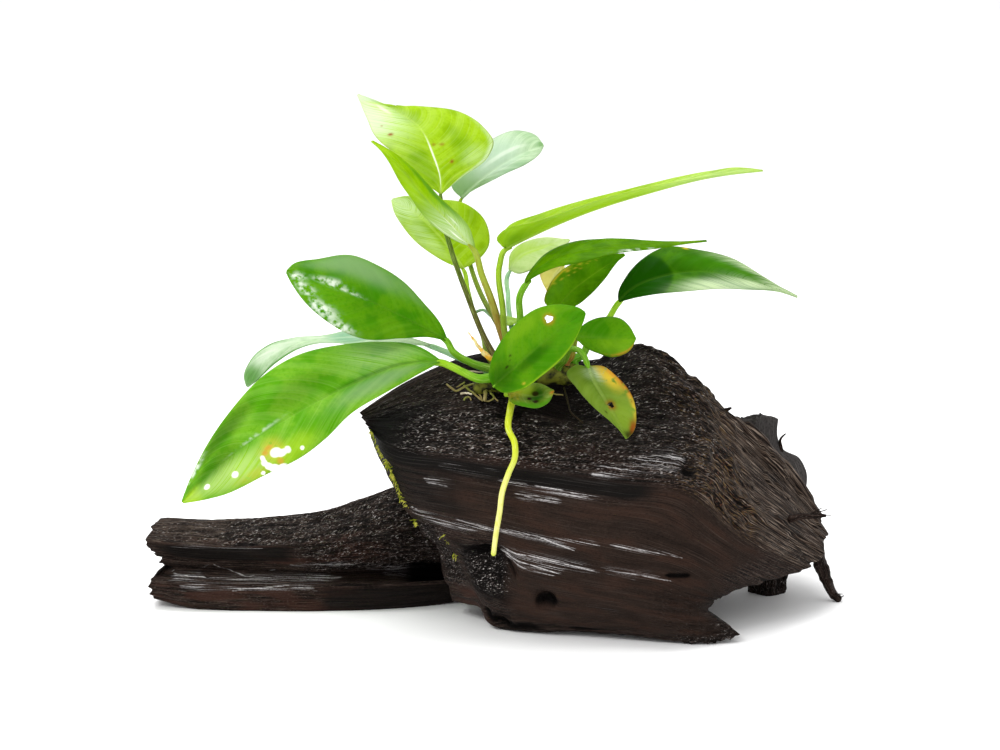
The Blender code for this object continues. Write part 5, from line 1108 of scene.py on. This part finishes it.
def bladePiece(name, leaf, look):
    # a closed leaf: the upper side from left to right, then the underside back, ring after ring
    left, right = leaf["left"], leaf["right"]
    length = chordLength(leaf["midrib"])
    width = max(np.linalg.norm(np.array(a, float) - np.array(b, float)) for a in left for b in right
                if abs(left.index(a) / len(left) - right.index(b) / len(right)) < 0.3)
    fine = look.get("fine", 1.0)
    rows = int(np.clip(length / leafForm["rowLength"] * fine, *leafForm["rowRange"])) + 1
    columns = 2 * int(np.clip(width / leafForm["columnLength"] / 2 * fine, *leafForm["columnRange"])) + 1
    u = np.linspace(-1, 1, columns)
    gathered = np.sign(u) * np.abs(u) ** leafForm["gather"]
    t, v = np.meshgrid(np.linspace(0, 1, rows), gathered, indexing="ij")
    gone = None
    for tc, vc, rt, rv in look.get("holes", ()):
        # the grid is drawn aside round a hole, whose rim wavers, and its middle cells are left out
        dt, dv = (t - tc) / rt, (v - vc) / rv
        away, turn = np.hypot(dt, dv), np.arctan2(dv, dt)
        rim = 1 + 0.2 * np.sin(3 * turn + 1) + 0.12 * np.sin(7 * turn)
        moved = (rim**4 + away**4) ** 0.25 / np.maximum(away, 1e-6)
        inside = away < 0.5
        cells = inside[:-1, :-1] & inside[1:, :-1] & inside[:-1, 1:] & inside[1:, 1:]
        gone = cells if gone is None else gone | cells
        near = away < 3
        t = np.where(near, tc + dt * rt * moved, t)
        v = np.where(near, vc + dv * rv * moved, v)
    t, v = np.clip(t, 0, 1), np.clip(v, -1, 1)
    middle = bladePoints(leaf, t, v)
    # the normal is square to two short steps over the blade
    step = 0.004
    alongT = bladePoints(leaf, np.clip(t + step, 0, 1), v) - bladePoints(leaf, np.clip(t - step, 0, 1), v)
    alongV = bladePoints(leaf, t, np.clip(v + step, -1, 1)) - bladePoints(leaf, t, np.clip(v - step, -1, 1))
    normal = unit(np.cross(unit(alongV), unit(alongT)))
    across = np.linalg.norm(middle - bladePoints(leaf, t, 0 * v), axis=-1)
    out = np.abs(v)
    # side veins leave the midrib and bend towards the tip as they near the margin
    vein = t - (leafForm["veinClimb"] - leafForm["veinClimbLess"] * t) * out ** leafForm["veinBend"]
    quilt = leafForm["quilt"] * np.sin(2 * math.pi * vein * look["veins"]) * 4 * out * (1 - out)
    # the rib thins to a seventh at the tip, and the blade to two thirds at its rounded edge
    ribRadius = leaf["radii"][1] * leafForm["ribShare"] * (1 - 0.85 * t)
    edge = np.sqrt(np.clip(1 - out**8, 0, 1))
    thick = leafForm["halfThickness"] * edge * (1 - 0.35 * out)
    groove = leafForm["grooveDepth"] * np.exp(-(across / leafForm["grooveWidth"]) ** 2) * (1 - t)
    rib = 1.1 * ribRadius * np.exp(-(across / ribRadius) ** 2) * edge
    upper = middle + normal * (quilt + thick - groove)[..., None]
    lower = middle + normal * (quilt - thick - rib)[..., None]
    back = slice(columns - 2, 0, -1)
    rings = np.concatenate([upper, lower[:, back]], axis=1)

    def both(values, lowerValues=None):
        # values of the upper side, then those of the underside in the order of its points
        return np.concatenate([values, (values if lowerValues is None else lowerValues)[:, back]], axis=1)

    masks = {kind: 0 * t for kind in leafMarks}
    for kind, tc, vc, rt, rv, strength, *steep in look["marks"]:
        away = ((t - tc) / rt) ** 2 + ((v - vc) / rv) ** 2
        masks[kind] = np.maximum(masks[kind], strength * np.exp(-away ** (steep[0] if steep else 1.5)))
    masks = {kind: both(values) for kind, values in masks.items()}
    masks["under"] = both(0 * t, 0 * t + 1)
    masks["across"] = both(across)
    masks["out"] = both(out)
    masks["along"] = both(t)
    # the surface map holds the vein count along x, and v along y
    uv = np.stack([both(vein * look["veins"]), both(v)], -1)
    uv = np.concatenate([uv, uv[:, :1]], axis=1)
    return ringPiece(name, rings, None, uv, masks, gone)


def stalkPiece(name, leaf):
    # a tapering tube, flared into a sheath at its foot, that ends under the blade's base. Its radius is the
    # taper times the flare, less a channel along one side
    centre = np.array([np.interp(leaf["seat"][0], [p[0] for p in rhizomeLine],
                                 [p[i] for p in rhizomeLine]) for i in range(3)])
    turn = math.radians(leaf["seat"][1])
    out = np.array([0, math.sin(turn), math.cos(turn)])
    blade = bladePoints(leaf, np.array([0.1, 0.1, 0.08, 0.12]), np.array([-0.2, 0.2, 0, 0]))
    under = -unit(np.cross(blade[1] - blade[0], blade[3] - blade[2])) * leaf["radii"][1]
    start, onward = np.array(leaf["midrib"][:2], float)
    entry = start + under * 0.85
    last = start + (onward - start) * 0.2 + under
    points = np.array([centre + out, centre + out * 5.5, *leaf["stalk"], entry, last])
    length, sides = chordLength(points), stalkForm["sides"]
    places = np.linspace(0, 1, int(length / stalkForm["rowLength"]) + 8)
    line = smoothPath(points, places)
    flare = 1 + stalkForm["flare"] * np.exp(-(places * length / stalkForm["flareLength"]) ** 2)
    radii = np.interp(places, [0, 1], leaf["radii"]) * flare * np.interp(places, [0.94, 1], [1, 0.55])
    turns = np.arange(sides) * 2 * math.pi / sides
    channel = 1 - stalkForm["channel"] * np.exp(-((turns - math.pi / 2) / 0.45) ** 2)
    radii = radii[:, None] * channel + stalkForm["ripple"] * np.sin(5 * turns)
    rings = tubeRings(line, radii, sides)
    # the colour runs from foot to top, and the darker foot holds painted shade
    shade = np.concatenate([np.zeros(3), places, np.ones(3)])[:, None]
    return ringPiece(name, rings, None, tubeUv(rings), {"up": shade})


# Cells of the leaf patterns: on the surface map x counts side veins and y goes from margin to margin; on the
# place they are in mm. Fine veins lie 0.8 mm apart in life too. Leaf cells are too fine to show, so they are
# drawn 1 mm wide, far too coarse
leafPatterns = {
    "fineVein": ("skin", (0.07, 1.1, 1), 0, 2, 0.0),
    "sideVein": ("skin", (0.45, 2.0, 1), 0, 1, 0.0),
    "cloud": ("place", (9, 9, 9), 0, 3, 0.0),
    "cells": ("place", (1, 1, 1), 0, 2, 0.0),
    "ragged": ("place", (2.0, 2.0, 2.0), 0, 3, 0.0),
}


def leafShader(look):
    def build(tree):
        # living leaf: a waxy skin over moist green tissue that lets light through; the gloss of the studio's
        # windows is painted on as soft white glare marks, and a paler sheen as pale and grey-green marks
        layers = [
            (look["deep"], "cloud", 0.56, 0.38, 1.0),
            (look["deep"], "cells", 0.5, 0.66, 0.45),
            (look["vein"], "sideVein", 0.42, 0.68, look["fine"]),
            (look["vein"], "fineVein", 0.5, 0.7, look["fine"]),
            (look["under"], "under", 0.0, 1.0, 0.7),
            (leafMarks["moss"], "moss", 0.0, 1.0, 0.9),
            (leafMarks["deep"], "deep", 0.0, 1.0, 0.95),
            (leafMarks["lime"], "lime", 0.0, 1.0, 0.9),
            (leafMarks["bluish"], "bluish", 0.0, 1.0, 0.9),
            # painted grey-green sheen
            (leafMarks["mist"], "mist", 0.0, 1.0, 0.9),
            (leafMarks["mint"], "mint", 0.0, 1.0, 0.9),
            # painted sheen, broken by the fine veins
            (leafMarks["pale"], "fineVein", 0.3, 0.5, 1.0, "pale"),
            (look["vein"], "across", 0.8, 0.25, look["rib"], "towardsBase"),
            (look["vein"], "out", 0.965, 0.995, 0.4),
            (leafMarks["yellow"], "ragged", 0.28, 0.45, 1.0, "yellow"),
            (leafMarks["orange"], "ragged", 0.28, 0.45, 1.0, "orange"),
            (leafMarks["amber"], "amber", 0.0, 1.0, 0.8),
            (leafMarks["rust"], "ragged", 0.28, 0.45, 1.0, "rust"),
            (leafMarks["brown"], "ragged", 0.25, 0.42, 1.0, "brown"),
            (leafMarks["white"], "white", 0.2, 0.8, 1.0),
            (leafMarks["glare"], "ragged", 0.36, 0.6, 1.0, "glare"),
        ]
        sources = surfaceSources(tree, leafPatterns, leafMasks)
        sources["towardsBase"] = addNode(tree, "ShaderNodeMapRange", None,
                                         {0: sources["along"], 1: 1.0, 2: 0.4})
        colour = paintLayers(tree, look["green"], layers, sources)
        veins = addNode(tree, "ShaderNodeBump", None, {"Strength": 0.3, "Distance": 0.2 * mm,
                                                       "Height": sources["fineVein"]})
        skin = addNode(tree, "ShaderNodeBump", None, {"Strength": 0.15, "Distance": 0.1 * mm,
                                                      "Height": sources["cells"], "Normal": veins})
        return litThrough(tree, colour, skin, 0.3, 0.04, 0.5)
    return build


# strands on a stalk or root are drawn 0.7 mm wide, some three times too coarse
stemPatterns = {"strand": ("skin", (5, 0.35, 1), 0, 2, 0.0), "blotch": ("skin", (3.5, 1.6, 1), 0, 2, 0.0)}


def stemShader(foot, top, glow=0.15, pale="cfe27a", share=0.35):
    def build(tree):
        # juicy stalk or root skin, smooth and slightly waxy, with fine strands along it
        sources = surfaceSources(tree, stemPatterns, ["up"])
        layers = [(top, "up", 0.1, 0.9, 1.0), (pale, "strand", 0.45, 0.7, share),
                  (foot, "blotch", 0.52, 0.7, 0.4)]
        colour = paintLayers(tree, foot, layers, sources)
        bump = addNode(tree, "ShaderNodeBump", None, {"Strength": 0.3, "Distance": 0.2 * mm,
                                                      "Height": sources["strand"]})
        return litThrough(tree, colour, bump, 0.35, 0.12, glow)
    return build


leafMaterials = {finish: finishMaterial(finish + " anubias leaf", leafShader(look))
                 for finish, look in leafFinishes.items()}
# colour of each kind of stalk at its foot and at its top; the darker foot is partly painted shade under the
# crown of leaves and partly the stalk's own tone
stalkLooks = {
    "green": ("4c7c12", "6cab12"), "lime": ("4f960a", "94c61e"), "dark": ("4a3a1c", "4b6d16"),
    "olive": ("566a14", "94bc1e"), "shaded": ("3c4a10", "8fb020"), "bluish": ("5c8e50", "9cc8a0"),
    "amber": ("8a4a26", "9cae34"), "straw": ("a8a040", "dcd878"),
}
stalkMaterials = {tone: finishMaterial(tone + " stalk skin", stemShader(*colours))
                  for tone, colours in stalkLooks.items()}
# the slots that are not the usual dark blade and green stalk
slotOfFinish = {"lime": "fresh_blade", "fresh": "fresh_blade", "pale": "pale_blade", "cream": "pale_blade",
                "ageing": "yellow_blade", "dry": "yellow_blade"}
redStalks = ("top_side", "round_back", "small_oval")

for leafName, leaf in leaves.items():
    look = leafLooks[leafName]
    words = leafName.split("_")
    pieceName = words[0] + "".join(word.capitalize() for word in words[1:])
    blade = bladePiece(pieceName + "Blade", leaf, look)
    bladeSlot = slotOfFinish.get(look["finish"], "dark_blade")
    settle(blade, leafMaterials[look["finish"]], bladeSlot, "blade_" + leafName)
    stalk = stalkPiece(pieceName + "Stalk", leaf)
    stalkSlot = "red_stalk" if leafName in redStalks else "green_stalk"
    settle(stalk, stalkMaterials[look["stalk"]], stalkSlot, "stalk_" + leafName)
print("leaves and stalks made:", len(leaves))


# Rhizome, roots, dry sheath, moss and torn wood

rootParts = {
    # places along the rhizome and its radius there
    "rhizomePlaces": [0, 0.28, 0.55, 0.83, 1], "rhizomeRadii": [2.2, 3.9, 4.5, 4.1, 2.2],
    "hangingRoot": [(8, -13.6, 80.8), (7.5, -18, 79), (6.5, -27, 76.5), (6, -37, 72.3), (8, -43.5, 69),
                    (8, -47, 65), (6, -47.5, 60), (4, -47.5, 54), (3, -49, 47), (2, -49.5, 41),
                    (1, -49, 33)],
    "hangingRadii": (1.3, 1.2, 1.05, 0.95, 0.9, 0.85),
    "fineRoots": {
        "fine_root_1": [(-0.5, -10.5, 83), (-3, -9.8, 82.5), (-6, -8.8, 81.7), (-9.2, -9.6, 80.8),
                        (-12, -10.4, 79.6), (-13.5, -9, 80.4), (-15, -7.4, 81.3)],
        "fine_root_2": [(-9, -9, 81.2), (-7.2, -10.6, 79.9), (-5.2, -12.8, 78.9), (-3.4, -14.6, 77.6)],
        "fine_root_3": [(-1.6, -12, 82.4), (-1.8, -14, 80), (-2, -15.4, 77.6)],
        "fine_root_4": [(25, -9, 80.5), (26, -14, 77.5), (27, -19, 74.5), (31, -23, 71.5)],
    },
    "fineRadii": (0.42, 0.4, 0.75, 0.3),   # one for each fine root
    # the tangle on the wood: dead or living, radius and places
    "rootlets": [
        ("fine", 0.34, [(0, -15.2, 79.8), (1.1, -15.2, 78.5), (0.2, -15, 77.4), (-2, -15, 77.2)]),
        ("dead", 0.42, [(-10, -11.8, 79), (-8.6, -12.2, 79.3), (-6.6, -12.4, 79)]),
        ("fine", 0.36, [(-9, -14.2, 77.4), (-8.4, -13.8, 78.2), (-7.2, -13.8, 78.1), (-6.7, -14.4, 77.4)]),
        ("fine", 0.32, [(-9, -8.6, 82.2), (-10.2, -8.4, 81.4), (-11.6, -8.6, 80.6)]),
        ("fine", 0.38, [(-5, -8.5, 82.6), (-4, -12.4, 79.6), (-2.8, -15, 77.2)]),
        ("fine", 0.34, [(-1, -12, 82), (0.4, -14, 79.4), (2.4, -16, 77.4)]),
        ("dead", 0.34, [(-9, -6, 85.6), (-7, -6.4, 85.6), (-4, -6.6, 85.5), (-0.5, -7, 85.5)]),
        ("fine", 0.45, [(24, 4, 90), (26.5, 3.5, 91.6), (28.2, 3.5, 91.4), (28, 3, 89.4), (26, 2.5, 88)]),
        ("fine", 0.34, [(19, -9.6, 79), (21.5, -10.4, 78.6), (24.5, -10.2, 78.2)]),
    ],
    "sheath": [(0.3, -11, 91), (-1.5, -11.5, 92.3), (-3.5, -12, 94.6), (-5.4, -12.4, 97.4),
               (-7.4, -12.5, 100.3)],
    "sheathRadii": (0.9, 1.0, 0.5, 0.3, 0.2),
    # each run of moss: number of tufts and places
    "moss": [
        (210, [(-41.6, -22.6, 68.5), (-40.2, -23, 66.5), (-39, -24, 63), (-37, -25.4, 60), (-34.4, -26.3, 57),
               (-32.6, -26.4, 53), (-31.2, -25.4, 48.5), (-30.2, -25.2, 44), (-28.4, -25.6, 41.6)]),
        (36, [(-36, -27, 59), (-35, -28, 55.5), (-35.4, -28, 53)]),
        (20, [(-35.4, -28, 53), (-33.5, -27.4, 54)]), (24, [(-25.8, -22, 37), (-26.2, -22, 34.6)]),
        (12, [(-15, -32, 35), (-14, -29.6, 30)]), (10, [(-12.4, -28, 27), (-11.4, -27, 23)]),
    ],
}
mossForm = {
    "clump": 12,                      # tufts that share a clump, about
    "clumpWidth": 0.26,               # of the distance between two clumps
    "scatter": (0.28, 0.45, 0.3),     # mm along X, Y and Z
    "reach": 0.5,                     # mm, the farthest that a tuft starts off the wood
    "length": (0.4, 1.5),             # mm
    "longShare": 0.08,                # share of the tufts that are longer, by this much
    "longer": 1.8,
    "droop": 0.4,                     # share of its length that the tip sinks
    "levels": (0.0, 0.4, 0.75, 1.0),  # places along a tuft, and its radius there in mm
    "radii": (0.15, 0.13, 0.09, 0.02),
}
# torn wood at the right end: the splinter, and the start, way and radius of each frayed fibre
tornParts = {
    "splinter": [(112, 12, 22), (114.5, 10, 17.5), (117, 9, 10.5), (119.5, 8, 4), (122, 7, 0.8)],
    "splinterRadii": (3.4, 2.7, 2.3, 2.0, 1.2),
    "fibres": [
        ((108, -6, 34.6), (6.6, -0.5, 2.6), 0.45), ((111, -6, 35), (4, -0.5, 2.4), 0.35),
        ((110, -7, 35), (7.2, -0.5, 0.4), 0.4), ((104, -6, 33.6), (10.5, -1, 1.6), 1.6),
        ((79, 13, 65.5), (4.4, 0, 3.2), 1.4), ((105, 46, 44.5), (0.2, 0, 6.6), 0.9),
        ((120, 7.5, 3), (4.2, -1, -1.4), 0.4), ((120.5, 7, 2.6), (3, -1, 0.6), 0.35),
        ((120, 8, 2), (1.5, -2, -1.6), 0.4),
    ],
}


def softShader(low, high, cell, rough, glow, bumpDepth):
    def build(tree):
        # soft plant skin of the rhizome, the sheath and the moss: two colours in clouds that are cell mm wide
        sources = surfaceSources(tree, {"cloud": ("place", (cell, cell, cell), 0, 3, 0.0)}, [])
        colour = paintLayers(tree, low, [(high, "cloud", 0.35, 0.65, 1.0)], sources)
        bump = addNode(tree, "ShaderNodeBump", None, {"Strength": 0.6, "Distance": bumpDepth * mm,
                                                      "Height": sources["cloud"]})
        return litThrough(tree, colour, bump, rough, 0.15, glow)
    return build


def tubePiece(name, points, radii, rows, sides, bumps, seed, slack=0.0):
    # a round tube along a smooth path, with knobs of the height of bumps in mm; slack adds a few slow waves,
    # as high in mm, that fade out towards both ends
    places = np.linspace(0, 1, rows)
    line = smoothPath(points, places)
    rng = np.random.default_rng(seed)
    if slack:
        drift = sum(np.sin(2 * math.pi * (places[:, None] * n + rng.uniform(size=3))) / n for n in (2, 3, 5))
        line = line + slack * drift * np.sin(math.pi * places)[:, None]
    spread = np.interp(places, np.linspace(0, 1, len(radii)), radii)
    around = np.arange(sides)[None, :] / sides
    knobs = latticeNoise(places[:, None] * rows / 5, around * 5, seed, 5) - 0.5
    rings = tubeRings(line, spread[:, None] + 2 * bumps * knobs, sides)
    up = np.linspace(0, 1, len(rings))[:, None]
    return ringPiece(name, rings, None, tubeUv(rings), {"up": up})


rhizomeSkin = finishMaterial("rhizome skin", softShader("14140a", "6a6e22", cell=2.6, rough=0.5,
                                                         glow=0.05, bumpDepth=0.6))
rhizomeRadii = np.interp(np.linspace(0, 1, 30), rootParts["rhizomePlaces"], rootParts["rhizomeRadii"])
rhizome = tubePiece("rhizomeStem", rhizomeLine, rhizomeRadii, rows=60, sides=32, bumps=0.55, seed=5)
settle(rhizome, rhizomeSkin, "rhizome", "rhizome")


def rootShader(tree):
    # a living root: smooth and juicy, greener at its foot, cream further down, with a fresh tip
    sources = surfaceSources(tree, stemPatterns, ["up"])
    layers = [("f4f09c", "up", 0.45, 0.75, 1.0), ("b2c81a", "up", 0.2, 0.08, 0.9),
              ("d2dc34", "blotch", 0.45, 0.6, 0.5), ("f8f6c0", "strand", 0.52, 0.7, 0.4),
              ("cfdc3a", "up", 0.94, 0.98, 0.8)]
    colour = paintLayers(tree, "c8d626", layers, sources)
    bump = addNode(tree, "ShaderNodeBump", None, {"Strength": 0.3, "Distance": 0.2 * mm,
                                                  "Height": sources["strand"]})
    return litThrough(tree, colour, bump, 0.35, 0.12, 0.25)


rootSkin = finishMaterial("living root skin", rootShader)
fineSkin = finishMaterial("fine root skin",
                          stemShader("6a7420", "8a7a4a", glow=0.1, pale="c2ba84", share=0.5))
shadedSkin = finishMaterial("shaded root skin",
                            stemShader("2a2614", "2e2418", glow=0.1, pale="4a4028", share=0.4))
deadSkin = finishMaterial("dead root skin",
                          stemShader("b4a684", "e8dcc4", glow=0.1, pale="f4eee0", share=0.5))
hanging = tubePiece("hangingRoot", rootParts["hangingRoot"], rootParts["hangingRadii"],
                    rows=90, sides=20, bumps=0.05, seed=9)
settle(hanging, rootSkin, "root", "hanging_root")
for number, (node, points) in enumerate(rootParts["fineRoots"].items(), 1):
    girth = rootParts["fineRadii"][number - 1]
    fine = tubePiece("fineRoot%d" % number, points, (girth, girth * 0.8),
                     rows=40, sides=10, bumps=0.06, seed=20 + number, slack=0.12)
    settle(fine, shadedSkin if number == 4 else fineSkin, "root", node)
for number, (kind, radius, points) in enumerate(rootParts["rootlets"], 1):
    fine = tubePiece("rootlet%d" % number, points, (radius, radius * 0.7),
                     rows=44, sides=8, bumps=0.05, seed=40 + number, slack=0.12)
    settle(fine, deadSkin if kind == "dead" else fineSkin, "root")

paper = finishMaterial("papery dry sheath", softShader("f0c040", "faf0b4", cell=2.0, rough=0.6,
                                                       glow=0.4, bumpDepth=0.3))
sheath = tubePiece("drySheath", rootParts["sheath"], rootParts["sheathRadii"],
                   rows=50, sides=18, bumps=0.3, seed=12)
settle(sheath, paper, "dry_sheath", "dry_sheath")


def tuftPiece(name, runs, seed):
    # tufts of moss: tapering three-sided blades that bend over, scattered in clumps along the runs
    rng = np.random.default_rng(seed)
    count = sum(number for number, path in runs)
    spots = []
    for number, path in runs:
        clumps = number // mossForm["clump"] + 1
        home = rng.integers(0, clumps, number) + rng.normal(size=number) * mossForm["clumpWidth"]
        spots.append(smoothPath(path, home / clumps))
    foot = np.concatenate(spots) + rng.normal(size=(count, 3)) * mossForm["scatter"]
    # a tuft that starts too far off is drawn towards the wood
    wood = BVHTree.FromObject(woodPieces["driftwoodBlock"], bpy.context.evaluated_depsgraph_get())
    nearest = np.array([wood.find_nearest(Vector(point))[0] for point in inFrame(foot)])
    nearest = nearest / mm + footprintMiddle
    off = np.linalg.norm(foot - nearest, axis=1, keepdims=True)
    foot = nearest + (foot - nearest) * np.minimum(1, mossForm["reach"] / np.maximum(off, 0.01))
    lean = unit(rng.normal(size=(count, 3)) + (-0.9, -0.6, -0.2))
    side = unit(np.cross(lean, rng.normal(size=(count, 3))))
    third = np.cross(lean, side)
    length = rng.uniform(*mossForm["length"], (count, 1))
    isLong = rng.uniform(size=(count, 1)) > 1 - mossForm["longShare"]
    length = length * np.where(isLong, mossForm["longer"], 1)
    levels, wide = np.array(mossForm["levels"]), np.array(mossForm["radii"])
    centre = foot[:, None] + lean[:, None] * length[:, None] * levels[None, :, None]
    centre = centre - np.array([0, 0, mossForm["droop"]]) * length[:, None] * (levels**2)[None, :, None]
    turn = np.arange(3) * 2 * math.pi / 3
    ring = side[:, None] * np.cos(turn)[None, :, None] + third[:, None] * np.sin(turn)[None, :, None]
    points = centre[:, :, None] + ring[:, None] * wide[None, :, None, None]
    corner = np.arange(count * 12).reshape(count, 4, 3)
    beside = np.roll(corner, -1, axis=2)
    quads = np.stack([corner[:, :-1], beside[:, :-1], beside[:, 1:], corner[:, 1:]], -1).reshape(-1, 4)
    lids = np.concatenate([corner[:, 0, ::-1], corner[:, -1]])
    mesh = bpy.data.meshes.new(name)
    mesh.from_pydata(inFrame(points.reshape(-1, 3)).tolist(), [], quads.tolist() + lids.tolist())
    piece = bpy.data.objects.new(name, mesh)
    scene.collection.objects.link(piece)
    return piece


mossSkin = finishMaterial("damp moss", softShader("8f9c1e", "dcd860", cell=1.6, rough=0.8,
                                                  glow=0.3, bumpDepth=0.2))
moss = tuftPiece("mossFringe", rootParts["moss"], 31)
settle(moss, mossSkin, "moss", "moss_fringe")

splinter = tubePiece("driftwoodSplinter", tornParts["splinter"], tornParts["splinterRadii"],
                     rows=70, sides=22, bumps=0.6, seed=41)
settle(splinter, wetWood, "driftwood", "driftwood_splinter")
rng = np.random.default_rng(51)
for number, (start, way, radius) in enumerate(tornParts["fibres"], 1):
    points = [np.array(start) + np.array(way) * share + rng.normal(size=3) * 0.5 * share
              for share in (0, 0.35, 0.7, 1)]
    fibre = tubePiece("tornFibre%d" % number, points, (radius, radius * 0.3),
                      rows=30, sides=8, bumps=0.1, seed=59 + number)
    settle(fibre, wetWood, "driftwood")
print("rhizome, roots, sheath, moss and torn wood made")


# Floor

half = studio["floorSize"] / 2
floorMesh = bpy.data.meshes.new("floor")
floorCorners = inFrame([(-half, -half, 0), (half, -half, 0), (half, half, 0), (-half, half, 0)])
floorMesh.from_pydata(floorCorners.tolist(), [], [(0, 1, 2, 3)])
floor = bpy.data.objects.new("floor", floorMesh)
scene.collection.objects.link(floor)


def paperShader(tree):
    # matt white paper sweep
    return addNode(tree, "ShaderNodeBsdfPrincipled", None,
                   {"Base Color": studio["floorColour"], "Roughness": 0.7, "Specular IOR Level": 0.2})


floorMesh.materials.append(finishMaterial("white paper sweep", paperShader))

print("scene ready")
